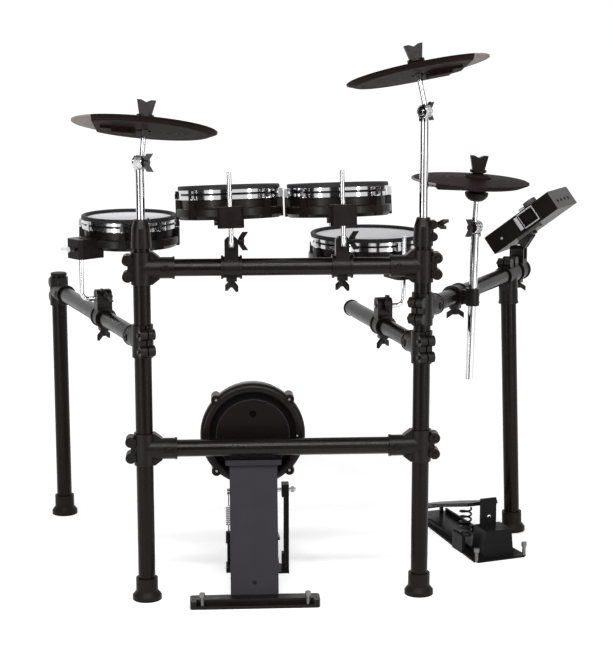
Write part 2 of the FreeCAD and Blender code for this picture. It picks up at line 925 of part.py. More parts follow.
LEFT_CLAMP = bar_frame(LEFT_START, LEFT_WAY, size.floor_tom_along, right_of(LEFT_WAY) * -1)
SNARE_CLAMP = bar_frame(SNARE_START, SNARE_WAY, size.snare_along, right_of(SNARE_WAY))
ARM_CLAMP = bar_frame(RIGHT_START, RIGHT_WAY, size.hihat_along, right_of(RIGHT_WAY))
MODULE_ALONG = number(size.right_bar_reach + size.right_bar_overhang - size.clamp_width / 2)
MODULE_CLAMP = bar_frame(RIGHT_START, RIGHT_WAY, MODULE_ALONG, right_of(RIGHT_WAY))


def tom_clamp_frame(place):
    lean = Rotation(ACROSS, -number(size.tom_tilt))
    return Placement(point(place, 0, size.upper_bar_height), lean)


TOM_1_CLAMP = tom_clamp_frame(size.tom_1_place)
TOM_2_CLAMP = tom_clamp_frame(size.tom_2_place)
PAD_CLAMPS = (TOM_1_CLAMP, TOM_2_CLAMP, LEFT_CLAMP, SNARE_CLAMP)


def build_clamps():
    tee = tee_clamp()
    node("tee_clamps", *[copy_of(tee, place) for place in tee_places()])
    pad = pad_clamp()
    clamps = [copy_of(pad, place) for place in PAD_CLAMPS]
    clamps.append(copy_of(arm_clamp(), ARM_CLAMP))
    clamps.append(copy_of(module_clamp(), MODULE_CLAMP))
    node("mount_clamps", *clamps)


def cheek_wing(side, turn):
    """Place of the wing bolt on one cheek of a pad clamp."""
    seat = point(size.clamp_cheek_width / 2 * side, 0, size.leg_height + size.rod_radius * 2)
    return Placement(seat, Rotation(UP, ACROSS * side).multiply(Rotation(UP, number(turn))))


def build_bolts():
    bolt = tee_bolt()
    wing = wing_bolt()
    offset = number(size.tee_boss_offset)
    rise = number(size.tee_boss_rise)
    pieces = []
    for place in tee_places():
        for side in (-1, 1):
            seat = Placement(Vector(-offset, 0, side * rise), Rotation())
            pieces.append(copy_of(bolt, place.multiply(seat)))
    cheeks = ((TOM_1_CLAMP, 1, 0), (TOM_2_CLAMP, 1, 0), (LEFT_CLAMP, 1, size.left_wing_turn),
              (SNARE_CLAMP, -1, 0))
    pieces += [copy_of(wing, place.multiply(cheek_wing(side, turn))) for place, side, turn in cheeks]
    downwards = Rotation(ACROSS, 180).multiply(Rotation(UP, number(size.lower_wing_turn)))
    below = Placement(point(0, 0, -size.clamp_lug_drop), downwards)
    for place in (*PAD_CLAMPS, ARM_CLAMP, MODULE_CLAMP):
        pieces.append(copy_of(wing, place.multiply(below)))
    arm_wing = Placement(point(size.arm_clamp_radius, -size.hihat_arm_reach, 0), Rotation(UP, ACROSS))
    pieces.append(copy_of(wing, ARM_CLAMP.multiply(arm_wing)))
    sideways = Rotation(UP, ACROSS).multiply(Rotation(UP, number(size.collar_wing_turn)))
    boss_face = size.collar_boss_offset + size.collar_boss_radius
    boss_end = Placement(point(boss_face, 0, size.collar_height * COLLAR_BOSS_HIGH), sideways)
    for place in collar_places():
        pieces.append(copy_of(wing, place.multiply(boss_end)))
    node("clamp_bolts", *pieces)


# Drum pads: Z along the pad's axis, height zero at the top of the rim, the rod on the negative Y side

def pad_reach(radius):
    return radius + size.basin_overhang + size.bracket_margin


def pad_rim(radius):
    inner = radius - size.rim_width
    ring = turned((inner, -size.rim_depth), (radius, -size.rim_depth), (radius, 0), (inner, 0))
    return round_edges(ring, size.rim_round, lambda edge: abs(edge.CenterOfMass.z) < 1e-6 and edge.Length > 1)


def pad_head(radius):
    bottom = size.head_drop + size.head_thickness
    return cylinder(radius - size.rim_width, size.head_thickness, point(0, 0, -bottom))


def shell_body(radius):
    """Hollow shell: bearing edge, straight wall and a wider basin with a closed floor."""
    wall = radius - size.shell_inset
    lip = radius - size.rim_width
    inner = lip - size.shell_wall
    basin = radius + size.basin_overhang
    lip_top = -(size.head_drop + size.head_thickness)
    bottom = -size.pad_depth
    return turned((0, bottom), (basin - size.basin_chamfer, bottom), (basin, bottom + size.basin_chamfer),
                  (basin, -size.wall_depth - 2), (basin - 2, -size.wall_depth), (wall, -size.wall_depth),
                  (wall, -size.rim_depth), (lip, -size.rim_depth), (lip, lip_top), (inner, lip_top),
                  (inner, bottom + size.shell_floor), (0, bottom + size.shell_floor))


def hoop_bottom():
    """Height of the hoop's lower edge."""
    return -(size.rim_depth + size.hoop_upper + size.hoop_space + size.hoop_lower)


def lug(radius):
    """Tapered lug on the wall that takes a tension rod."""
    top = hoop_bottom()
    bottom = top - size.lug_length
    half_top = size.lug_top_width / 2
    half_bottom = size.lug_bottom_width / 2
    inner = radius - size.shell_inset - size.lug_sink
    outer = radius + size.lug_depth
    body = upright_plate(outer - inner, (-half_bottom, bottom), (half_bottom, bottom), (half_top, top),
                         (-half_top, top))
    return shift(body, y=-(inner + outer) / 2)


def rod_bracket(radius):
    """Bracket on the basin with an upright bore for the pad rod."""
    half = size.bracket_width / 2
    corner = half - size.bracket_chamfer
    near = -(pad_reach(radius) + size.bracket_depth / 2)
    front = near + size.bracket_chamfer
    back = near + size.bracket_depth + size.bracket_margin
    body = plate(size.bracket_height, (-corner, near), (corner, near), (half, front), (half, back),
                 (-half, back), (-half, front))
    shift(body, z=-(size.bracket_drop + size.bracket_height))
    cavity = cylinder(radius - size.rim_width, size.pad_depth, point(0, 0, -size.pad_depth))
    bore = cylinder(size.rod_radius + size.rod_clearance, size.bracket_height * 2,
                    point(0, -pad_reach(radius), -size.bracket_drop - size.bracket_height * 1.5))
    return cut(body, cavity, bore)


def pad_shell(radius):
    wall = shell_body(radius)
    lugs = around(lug(radius), size.pad_lugs)
    return fuse(wall, *lugs, rod_bracket(radius))


def hoop_bands(radius):
    """Upper and lower band of the hoop, round the shell's wall."""
    inner = radius - size.shell_inset
    outer = inner + size.hoop_width
    top = -size.rim_depth
    low = hoop_bottom()
    bands = ((top - size.hoop_upper, top), (low, low + size.hoop_lower))
    return [turned((inner, start), (outer, start), (outer, end), (inner, end)) for start, end in bands]


def tension_rod(radius):
    """Tension rod with a square head, and the claw that joins the hoop's bands."""
    middle = -(radius + size.lug_depth / 2)
    hold = -(radius - size.shell_inset + size.hoop_width / 2)
    low = hoop_bottom()
    claw_top = low + size.hoop_lower + size.hoop_space
    half = size.tension_head / 2
    head_half = size.tension_rod_radius
    claw = block((-half, half), (middle - half, hold), (low + size.hoop_lower / 4, claw_top))
    head = block((-head_half, head_half), (middle - head_half, hold),
                 (claw_top, claw_top + size.hoop_upper * 0.8))
    shank = cylinder(size.tension_rod_radius, claw_top - low, point(0, middle, low))
    return fuse(claw, head, shank)


def bracket_screw(radius):
    """Round screw on the side of the rod bracket."""
    height = size.bracket_drop + size.screw_drop
    seat = point(-size.bracket_width / 2, -pad_reach(radius), -height)
    return cylinder(size.bolt_head_radius, size.screw_length, seat, -ACROSS)


def bracket_wing(radius):
    """Wing bolt on the outer face of the rod bracket."""
    height = size.bracket_drop + size.bracket_height / 2
    seat = point(0, -pad_reach(radius) - size.bracket_depth / 2, -height)
    return move(wing_bolt(), Placement(seat, Rotation(UP, -BACK)))


def pad_hoop(radius):
    return fuse(*hoop_bands(radius), *around(tension_rod(radius), size.pad_lugs))


def pad_rod(top):
    """L-shaped rod: upright leg on Z, level leg along Y at height zero."""
    bend = size.rod_bend
    tip = size.leg_reach + size.clamp_cheek_depth / 2 + size.rod_radius
    upright = cylinder(size.rod_radius, top - bend, point(0, 0, bend))
    level = cylinder(size.rod_radius, tip - bend, point(0, bend, 0), BACK)
    corner = quarter_bend(bend, size.rod_radius)
    corner.Placement = Placement(point(0, bend, bend), Rotation(-BACK, -UP, ACROSS, "ZXY"))
    return fuse(upright, corner, level)


def rod_foot(clamp, roll):
    """Frame of a pad rod at its bend, rolled about the level leg in the clamp."""
    bend = Placement(point(0, -size.leg_reach, size.leg_height), Rotation(BACK, -number(roll)))
    return clamp.multiply(bend)


def build_pad(name, radius, clamp, rise, swing, spare, roll=0, has_wing=False):
    """A drum pad on its rod, which stands in a clamp."""
    foot_frame = rod_foot(clamp, roll)
    node(f"{name}_rod", move(pad_rod(rise - size.leg_height + spare), foot_frame))
    to_rim = Placement(point(0, 0, rise - size.leg_height), swing)
    place = foot_frame.multiply(to_rim).multiply(Placement(point(0, pad_reach(radius), 0), Rotation()))
    shell = [move(pad_shell(radius), place)]
    hoop = [move(pad_hoop(radius), place)]
    if has_wing:
        hoop.append(move(bracket_wing(radius), place))
    else:
        shell.append(move(bracket_screw(radius), place))
    node(f"{name}_shell", *shell)
    node(f"{name}_hoop", *hoop)
    node(f"{name}_rim", move(pad_rim(radius), place))
    node(f"{name}_head", move(pad_head(radius), place))


def build_pads():
    straight = Rotation()
    spare = size.tom_rod_spare
    build_pad("tom_1", size.tom_radius, TOM_1_CLAMP, size.tom_1_rise, straight, spare, size.tom_1_roll)
    build_pad("tom_2", size.tom_radius, TOM_2_CLAMP, size.tom_2_rise, straight, spare, size.tom_2_roll)
    floor_way = LEFT_CLAMP.Rotation.inverted().multiply(Rotation(UP, number(size.floor_tom_swing)))
    build_pad("floor_tom", size.tom_radius, LEFT_CLAMP, size.floor_tom_rise, floor_way,
              size.floor_tom_rod_spare, has_wing=True)
    snare_way = SNARE_CLAMP.Rotation.inverted().multiply(Rotation(UP, number(size.snare_swing)))
    build_pad("snare", size.snare_radius, SNARE_CLAMP, size.snare_rise, snare_way, size.snare_rod_spare)


# Cymbals: Z along the stud, height zero at the edge of the pad

def seat_pivot():
    """Height of the centre that the seat, the bell's dome and the nut share."""
    return size.bell_height - root(size.dome_radius * size.dome_radius - size.dome_reach * size.dome_reach)


def on_sphere(radius, reach):
    """Height of a sphere about the seat's centre at some distance from the stud."""
    return seat_pivot() + root(radius * radius - reach * reach)


def cymbal_pad(radius, offset, side, sensor_start):
    """Pad with a bell, a tray below that stops short of one side, and a stepped sensor box."""
    pivot = (0, seat_pivot())
    tray = -size.cymbal_tray
    disc = turned((0, size.cymbal_bow), (radius - 2, 1), (radius, 0), (radius, -size.cymbal_edge),
                  (radius - size.cymbal_bevel, tray), (0, tray))
    chord = radius * size.cymbal_wedge
    wedge = block((chord, radius * 2), (-radius, radius), (tray - 1, -size.cymbal_edge))
    disc = shift(spin(cut(disc, wedge), UP, 0 if side > 0 else 180), x=-offset)
    shoulder = size.bell_shoulder
    dome_edge = size.dome_reach
    bell = turned((0, size.dome_radius + seat_pivot()), (dome_edge, size.bell_height, pivot),
                  (shoulder, size.bell_height), (size.bell_radius, size.cymbal_bow - 1),
                  (size.bell_radius, 0), (0, 0))
    inner = size.dome_radius - size.dome_wall
    cavity = turned((0, tray * 2), (dome_edge + 2, tray * 2), (dome_edge + 2, tray),
                    (dome_edge, on_sphere(inner, dome_edge)), (0, inner + seat_pivot(), pivot))
    hole = cylinder(size.cymbal_hole, size.dome_radius * 2)
    half = size.sensor_width / 2
    start = size.bell_radius + sensor_start
    finish = start + size.sensor_length
    sensor = side_box(start, finish, half, tray - size.sensor_depth, tray)
    step = side_box(finish - size.sensor_step, finish, half, tray - size.sensor_depth,
                    tray - size.sensor_step_depth)
    sensor = spin(cut(sensor, step), UP, 0 if side > 0 else 180)
    return cut(fuse(disc, bell, sensor), cavity, hole)


def side_box(start, finish, half, bottom, top):
    return block((start, finish), (-half, half), (bottom, top))


def cymbal_nut():
    """Wing nut with a hollow face that follows the bell's dome."""
    pivot = (0, seat_pivot())
    face = size.dome_radius + size.seat_clearance
    lip = size.dome_reach - size.nut_flange_rise
    flange = size.nut_flange_radius
    low = on_sphere(face, lip)
    flange_low = low + size.nut_flange_rise
    flange_top = flange_low + size.nut_flange_height
    bore = size.stud_radius + size.seat_clearance / 2
    half = size.nut_width / 2
    skirt = turned((bore, on_sphere(face, bore)), (lip, low, pivot), (flange, flange_low),
                   (flange, flange_top), (bore, flange_top + 2))
    half_top = size.nut_top_width / 2
    top = flange_top + size.nut_height
    notch = top - size.nut_notch
    grip = upright_plate(size.nut_thickness, (-half, flange_top), (half, flange_top), (half_top, top),
                         (half_top / 2, top), (0, notch), (-half_top / 2, top), (-half_top, top))
    stud_room = cylinder(bore, size.stud_top + size.seat_clearance)
    return cut(fuse(skirt, grip), stud_room)


def knuckle_half():
    """One half of the ratchet, on the positive X side of the joint."""
    return cylinder(size.knuckle_radius, size.knuckle_thickness, point(size.knuckle_gap / 2, 0, 0), ACROSS)


def tilter(drop, has_cup):
    """Upper half of the ratchet, rod, seat and stud, with X the ratchet's axis through the origin."""
    pivot = (0, drop + seat_pivot())
    middle = (size.knuckle_gap + size.knuckle_thickness) / 2
    dome = size.dome_radius - size.dome_wall - size.seat_clearance
    reach = size.dome_reach - 2
    neck = size.stud_radius + 2
    low = drop - size.cymbal_tray * 2
    seat = turned((0, drop + on_sphere(dome, 0)), (reach, drop + on_sphere(dome, reach), pivot),
                  (reach, drop - 2), (neck, low), (0, low))
    stud = cylinder(size.stud_radius, size.stud_top, point(0, 0, drop))
    rod = turned((0, 0), (size.tilter_radius, 0), (size.tilter_radius, size.knuckle_radius * 2),
                 (neck, low), (0, low))
    pieces = [seat, stud, rod]
    if has_cup:
        top = drop - size.cymbal_tray - size.cup_gap
        pieces.append(turned((0, top - size.cup_height), (size.cup_radius / 2, top - size.cup_height),
                             (size.cup_radius, top - size.cup_edge), (size.cup_radius, top), (0, top)))
    pieces = [shift(piece, x=middle) for piece in pieces]
    bolt_room = cylinder(size.bolt_radius + size.slide_clearance, size.knuckle_thickness * 3,
                         point(-size.knuckle_thickness, 0, 0), ACROSS)
    body = fuse(knuckle_half(), *pieces)
    near_side = cylinder(size.knuckle_radius + 2, size.knuckle_thickness,
                         point(size.knuckle_gap / 2, 0, 0), -ACROSS)
    wing_side = cylinder(size.wing_span / 2 + 3, size.knuckle_thickness,
                         point(size.knuckle_gap / 2 + size.knuckle_thickness, 0, 0), ACROSS)
    return cut(body, bolt_room, near_side, wing_side)


def arm(length):
    """Arm tube with the lower half of the ratchet and its wing bolt."""
    top = size.knuckle_radius + 1
    outer = cylinder(size.arm_radius, length, point(0, 0, -top), -UP)
    bore = cylinder(size.arm_radius - size.arm_wall, length, point(0, 0, -top - size.arm_radius), -UP)
    thick = size.knuckle_thickness
    lug_half = size.knuckle_radius * 0.6
    half = spin(knuckle_half(), UP, 180)
    lug = block((-thick - size.knuckle_gap / 2, -size.knuckle_gap / 2), (-lug_half, lug_half), (-top - 6, 0))
    bolt = cylinder(size.bolt_radius, thick * 2 + 4, point(-thick, 0, 0), ACROSS)
    head = cylinder(size.bolt_head_radius + 2, 5, point(-thick, 0, 0), -ACROSS)
    wing = move(wing_bolt(), Placement(point(thick + size.knuckle_gap * 2, 0, 0), Rotation(UP, ACROSS)))
    return fuse(cut(outer, bore), half, lug, bolt, head, wing)


def build_cymbal(name, knuckle, tilt, lean_heading, drop, arm_length, lean, radius, offset, side,
                 has_cup=False):
    """A cymbal on its arm: the stud leans by the tilt towards a heading, about the ratchet's axis."""
    way = Vector(cosine(lean_heading), sine(lean_heading), 0)
    axis = Vector(way.y, -way.x, 0)
    upright = Placement(knuckle, Rotation(BACK, number(lean)))
    turn = Placement(ORIGIN, Rotation(axis, UP.cross(axis), UP, "ZXY"))
    leaning = Placement(ORIGIN, Rotation(ACROSS, -number(tilt)))
    node(f"{name}_arm", move(arm(arm_length), upright.multiply(turn)))
    on_knuckle = upright.multiply(turn).multiply(leaning)
    node(f"{name}_tilter", move(tilter(drop, has_cup), on_knuckle))
    middle = (size.knuckle_gap + size.knuckle_thickness) / 2
    edge = on_knuckle.multiply(Placement(point(middle, 0, drop), Rotation()))
    normal = edge.Rotation.multVec(UP)
    level = (ACROSS - normal * normal.x).normalize()
    facing = frame(edge.Base, level, normal)
    sensor_start = size.hihat_sensor_start if has_cup else size.sensor_start
    node(f"{name}_cymbal", move(cymbal_pad(radius, offset, side, sensor_start), facing))
    node(f"{name}_nut", move(cymbal_nut(), facing))


def hihat_knuckle():
    """Centre of the hi-hat ratchet, up the leaning arm from its clamp."""
    sleeve = ARM_CLAMP.multVec(point(0, -size.hihat_arm_reach, 0))
    return sleeve + arm_way() * number(size.hihat_knuckle_rise)


def build_cymbals():
    ride = point(-POST_X, 0, size.ride_knuckle_height)
    crash = point(POST_X, 0, size.crash_knuckle_height)
    build_cymbal("ride", ride, size.ride_tilt, size.ride_lean_heading, size.ride_drop,
                 size.ride_arm_length, 0, size.cymbal_radius, 0, -1)
    build_cymbal("crash", crash, size.crash_tilt, size.crash_lean_heading, size.crash_drop,
                 size.crash_arm_length, 0, size.cymbal_radius, 0, 1)
    build_cymbal("hihat", hihat_knuckle(), size.hihat_tilt, size.hihat_lean_heading, size.hihat_drop,
                 size.hihat_arm_length, size.hihat_arm_lean, size.hihat_radius, size.hihat_offset, -1, True)


# Kick tower and pad

HIHAT_PEDAL = Placement(point(size.hihat_pedal_x, size.hihat_pedal_y, 0),
                        Rotation(UP, number(size.hihat_pedal_turn)))


def spur_places():
    """Where the spurs stand: in the front ledge of the kick base and in the hi-hat pedal's front corners."""
    kick_reach = size.base_length / 2 - size.base_end - size.spur_head_radius * 2
    kick_front = size.base_front + size.base_ledge / 2
    places = [point(size.kick_place + side * kick_reach, kick_front, 0) for side in (-1, 1)]
    side_way = size.hihat_base_width / 2 - size.spur_head_radius
    places += [HIHAT_PEDAL.multVec(point(side * side_way, size.spur_head_radius, 0)) for side in (-1, 1)]
    return places


def kick_base():
    """Base bar with a ledge between its ends for the spurs, and a tongue that reaches the pedal."""
    half = size.base_length / 2
    front = size.base_front
    back = front + size.base_depth
    corner = size.base_corner
    side = half - corner
    bar = plate(size.base_height, (side, front), (half, front + corner, (side, front + corner)),
                (half, back - corner), (side, back, (side, back - corner)), (-side, back),
                (-half, back - corner, (-side, back - corner)), (-half, front + corner),
                (-side, front, (-side, front + corner)))
    ledge_half = half - size.base_end
    ledge = block((-ledge_half, ledge_half), (front, front + size.base_ledge),
                  (size.base_ledge_height, size.base_height))
    tongue_half = size.board_heel_width / 2
    tongue_front = front + size.base_depth / 2
    tongue = block((-tongue_half, tongue_half), (tongue_front, size.pedal_depth - size.upright_depth),
                   (0, size.pedal_floor))
    tongue = shift(tongue, x=size.pedal_offset / 2)
    body = shift(cut(fuse(bar, tongue), ledge), x=size.kick_place)
    holes = [cylinder(size.spur_radius + size.slide_clearance, size.base_height, spot)
             for spot in spur_places()[:2]]
    return cut(body, *holes)


def tower_plate():
    """Leaning plate that bends back to the pad, with a lip across the bend."""
    sheet_depth = size.tower_sheet
    back = size.kick_back
    low = size.base_height
    foot_depth = size.tower_foot_depth
    bend = size.tower_bend_depth
    bend_height = size.tower_bend_height
    knee = bend_height + (back - bend)
    panel = side_plate(size.tower_width, (foot_depth, low), (foot_depth + sheet_depth, low),
                       (bend + sheet_depth / 2, bend_height), (back, knee), (back, size.tower_top_height),
                       (back - sheet_depth, size.tower_top_height),
                       (back - sheet_depth, knee + sheet_depth / 2), (bend - sheet_depth / 2, bend_height))
    lip_half = size.tower_lip_width / 2
    lip = block((-lip_half, lip_half), (bend - size.tower_lip_depth, bend),
                (bend_height - size.tower_lip_height / 2, bend_height + size.tower_lip_height / 2))
    return fuse(panel, lip)


def build_kick_tower():
    node("kick_tower_plate", shift(tower_plate(), x=size.kick_place))
    node("kick_tower_base", kick_base())
    facing = Placement(point(size.kick_place, size.kick_back + size.pad_depth, size.kick_height),
                       Rotation(ACROSS, -90))
    radius = size.tom_radius
    node("kick_shell", move(kick_shell(radius), facing))
    rods = around(tension_rod(radius), size.kick_lugs, 180 / number(size.kick_lugs))
    node("kick_hoop", move(fuse(*hoop_bands(radius), *rods), facing), move(kick_jack(radius), facing))
    node("kick_head", move(fuse(pad_head(radius), pad_rim(radius)), facing))


def kick_shell(radius):
    """Shell with a rounded ring at the back, a groove, a flat disc with a hole, and four round bosses."""
    wall = radius - size.shell_inset
    lip = radius - size.rim_width
    inner = lip - size.shell_wall
    basin = radius + size.basin_overhang
    bead = size.kick_ring_width / 2
    groove = basin - size.kick_ring_width
    disc = groove - size.kick_groove
    back = -size.pad_depth
    floor = back + size.kick_groove_depth
    middle = (groove + bead, back + bead)
    lip_top = -(size.head_drop + size.head_thickness)
    body = turned((0, back), (disc, back), (disc, floor), (groove, floor), (groove + bead, back, middle),
                  (basin, back + bead, middle), (basin, -size.wall_depth - 2), (basin - 2, -size.wall_depth),
                  (wall, -size.wall_depth), (wall, -size.rim_depth), (lip, -size.rim_depth), (lip, lip_top),
                  (inner, lip_top), (inner, floor + size.shell_floor), (0, floor + size.shell_floor))
    spot = -(radius + size.lug_depth / 2)
    front = hoop_bottom()
    boss = cylinder(size.kick_boss_radius, front - back, point(0, spot, back))
    recess = cylinder(size.kick_boss_radius / 2, size.kick_boss_recess, point(0, spot, back))
    bosses = around(cut(boss, recess), size.kick_lugs, 180 / number(size.kick_lugs))
    hole = cylinder(size.kick_hole_radius, size.kick_groove_depth / 2, point(0, -size.kick_hole_rise, back))
    jack_room = cylinder(size.kick_jack_radius, size.kick_jack_length, point(groove + bead / 2, 0, back))
    return cut(fuse(body, *bosses), hole, jack_room)


def kick_jack(radius):
    """Bushing of the trigger socket on the ring."""
    groove = radius + size.basin_overhang - size.kick_ring_width
    start = -size.pad_depth - size.kick_jack_length / 2
    bushing = cylinder(size.kick_jack_radius, size.kick_jack_length * 1.5,
                       point(groove + size.kick_ring_width / 4, 0, start))
    socket = cylinder(size.jack_radius, size.kick_jack_length,
                      point(groove + size.kick_ring_width / 4, 0, start))
    return cut(bushing, socket)


def spur():
    """Threaded floor spur with a round head."""
    radius = size.spur_radius
    head = size.spur_head_radius
    head_low = size.spur_height - size.spur_head_height
    return turned((0, 0), (radius / 4, 0), (radius, size.spur_point), (radius, head_low), (head, head_low),
                  (head, size.spur_height), (0, size.spur_height))


def build_spurs():
    master = spur()
    node("floor_spurs", *[copy_of(master, Placement(spot, Rotation())) for spot in spur_places()])


# Springs: a wire on quarter-turn biarcs

def arc_between(start, tangent, end):
    """Arc that leaves start along the tangent and reaches end."""
    chord = end - start
    angle = tangent.getAngle(chord)
    bulge = tangent - chord * (tangent.dot(chord) / chord.dot(chord))
    middle = start + chord * 0.5 + bulge.normalize() * (chord.Length / 2 * math.tan(angle / 2))
    return Part.Arc(start, middle, end).toShape()


def biarc(start, start_way, end, end_way):
    """Two tangent arcs between two points with given directions."""
    chord = end - start
    both = start_way + end_way
    square = 2 * (start_way.dot(end_way) - 1)
    linear = -2 * chord.dot(both)
    reach = (-linear - math.sqrt(linear * linear - 4 * square * chord.dot(chord))) / (2 * square)
    joint = (start + start_way * reach + end - end_way * reach) * 0.5
    second = arc_between(end, end_way * -1, joint)
    return [arc_between(start, start_way, joint), reverse_arc(second, joint, end)]


def reverse_arc(edge, start, end):
    """The same arc run from start to end."""
    middle = edge.valueAt((edge.FirstParameter + edge.LastParameter) / 2)
    return Part.Arc(start, middle, end).toShape()


def spring(radius, wire_radius, curls, length):
    """Coil along Z from height zero, with its wire's centre line on a helix."""
    steps = int(number(curls)) * 4
    coil_radius = number(radius)
    climb = number(length) / steps
    rise = climb / (math.pi / 2)

    def helix_point(step):
        angle = step * math.pi / 2
        return Vector(coil_radius * math.cos(angle), coil_radius * math.sin(angle), climb * step)

    def helix_way(step):
        angle = step * math.pi / 2
        return Vector(-coil_radius * math.sin(angle), coil_radius * math.cos(angle), rise).normalize()

    edges = []
    for step in range(steps):
        edges += biarc(helix_point(step), helix_way(step), helix_point(step + 1), helix_way(step + 1))
    path = Part.Wire(edges)
    section = Part.Wire(Part.Circle(helix_point(0), helix_way(0), number(wire_radius)).toShape())
    shell = Part.BRepOffsetAPI.MakePipeShell(path)
    shell.add(section)
    shell.build()
    shell.makeSolid()
    gap = climb * 4 - 2 * number(wire_radius)
    samples = [edge.valueAt(edge.FirstParameter) for edge in edges]
    nearest = min((one - other).Length for index, one in enumerate(samples) for other in samples[index + 6:])
    print("spring: least gap to itself", round(min(gap, nearest - 2 * number(wire_radius)), 2))
    coil = doc.addObject("Part::Feature", "spring")
    coil.Shape = shell.shape()
    return coil


# Kick pedal: in front of the player, behind the kick pad

def pedal_place(x, y, z):
    return point(size.kick_place + size.pedal_offset + x, size.pedal_depth + y, z)


def lever_tip():
    """Distance behind the axle and height of the pin that the return spring hangs on."""
    behind = number(size.lever_length) * cosine(size.lever_rest)
    return behind, number(size.axle_height) - number(size.lever_length) * sine(size.lever_rest)


def spring_line():
    """Distance of the return spring from the middle of the pedal."""
    return size.axle_length / 2 - size.lever_width / 2


def build_kick_pedal():
    floor = size.pedal_floor
    half_gap = size.upright_spacing / 2
    width = size.upright_width
    depth = size.upright_depth / 2
    bearing = size.bearing_size / 2
    centre = size.axle_height
    base_half = size.pedal_base_width / 2
    heel = size.board_hinge_reach
    sole = plate(floor, (-half_gap - width, -depth * 2), (half_gap + width, -depth * 2),
                 (half_gap + width, depth * 2), (base_half, depth * 4), (base_half, size.pedal_base_length),
                 (-base_half, size.pedal_base_length), (-base_half, depth * 4),
                 (-half_gap - width, depth * 2))
    posts = []
    for side in (-1, 1):
        outer = (half_gap + width) * side
        edges = sorted((half_gap * side, outer), key=number)
        waist = sorted((outer - size.upright_waist * side, outer), key=number)
        posts.append(block(edges, (-depth, depth), (0, size.upright_foot)))
        posts.append(block(waist, (-depth, depth), (0, centre)))
        posts.append(block(edges, (-bearing, bearing), (centre - bearing, centre + bearing)))
    lug_half = size.hinge_lug / 2
    inner = size.board_heel_width / 2 + size.slide_clearance
    hinge = [block(edges, (heel - lug_half, heel + lug_half), (0, size.board_hinge_height + lug_half))
             for edges in ((inner, inner + lug_half), (-inner - lug_half, -inner))]
    bore = cylinder(size.axle_radius + size.axle_clearance, size.axle_length,
                    point(-size.axle_length / 2, 0, centre), ACROSS)
    pin_hole = cylinder(size.hinge_radius + size.axle_clearance, size.pedal_base_width * 2,
                        point(-size.pedal_base_width, heel, size.board_hinge_height), ACROSS)
    line = spring_line()
    behind = lever_tip()[0]
    nut = size.spring_nut_radius
    spring_foot = block((-line - nut, -half_gap), (-depth, behind + nut), (0, floor * 3))
    spring_bolt = cylinder(size.bolt_radius, size.spring_nut_low, point(-line, behind, 0))
    spring_nut = cylinder(nut, size.spring_nut_height, point(-line, behind, size.spring_nut_low))
    clamp = block((-size.board_heel_width / 2, size.board_heel_width / 2), (-depth * 3, -depth * 1.5),
                  (floor, floor + size.pedal_clamp_height))
    body = cut(fuse(sole, *posts, *hinge, spring_foot, spring_bolt, spring_nut, clamp), bore, pin_hole)
    node("kick_pedal_frame", move(body, Placement(pedal_place(0, 0, 0), Rotation())))

    build_kick_board(heel)
    build_axle(centre)
    build_kick_spring()


def build_kick_board(heel):
    rise = size.board_toe_rise
    slope = math.degrees(math.atan2(number(rise), number(heel + size.cam_radius)))
    run = math.hypot(number(rise), number(heel + size.cam_radius))
    half = size.board_width / 2
    heel_half = size.board_heel_width / 2
    lug = size.hinge_lug
    thick = size.board_thickness
    board = plate(thick, (-heel_half, -lug), (heel_half, -lug), (half, -run * 0.45), (half, -run),
                  (half - size.board_corner, -run - size.board_corner),
                  (size.board_corner - half, -run - size.board_corner), (-half, -run), (-half, -run * 0.45))
    starts = [-run * 0.9 + index * size.board_slot_pitch for index in range(int(number(size.board_slots)))]
    slots = [block((-size.board_slot_length / 2, size.board_slot_length / 2),
                   (start, start + size.board_slot_width), (0, thick * 2)) for start in starts]
    barrel = cylinder(size.hinge_lug / 2, heel_half * 2, point(-heel_half, 0, 0), ACROSS)
    neck = block((-heel_half, heel_half), (-lug * 1.5, 0), (-1, thick))
    pin = cylinder(size.hinge_radius, size.board_heel_width + lug * 1.6,
                   point(-heel_half - lug * 0.8, 0, 0), ACROSS)
    lean = Placement(pedal_place(0, heel, size.board_hinge_height), Rotation(ACROSS, -slope))
    body = fuse(cut(board, *slots), barrel, neck, pin)
    node("kick_footboard", move(body, lean))
    toe = lean.multVec(Vector(0, -run, number(thick)))
    top = number(size.axle_height)
    front = number(size.pedal_depth - size.cam_radius - size.axle_clearance - size.strap_thickness)
    strap_half = number(size.strap_width) / 2
    place = number(size.kick_place + size.pedal_offset)
    strap = block((place - strap_half, place + strap_half), (front, front + number(size.strap_thickness)),
                  (toe.z - 1, top))
    keep = move(board_copy(run, thick), lean)
    node("kick_strap", cut(strap, keep))


def board_copy(run, thick):
    """Room that the board takes where the strap meets it."""
    return block((-size.board_width, size.board_width), (-run - size.board_corner * 2, 0), (-thick, thick))


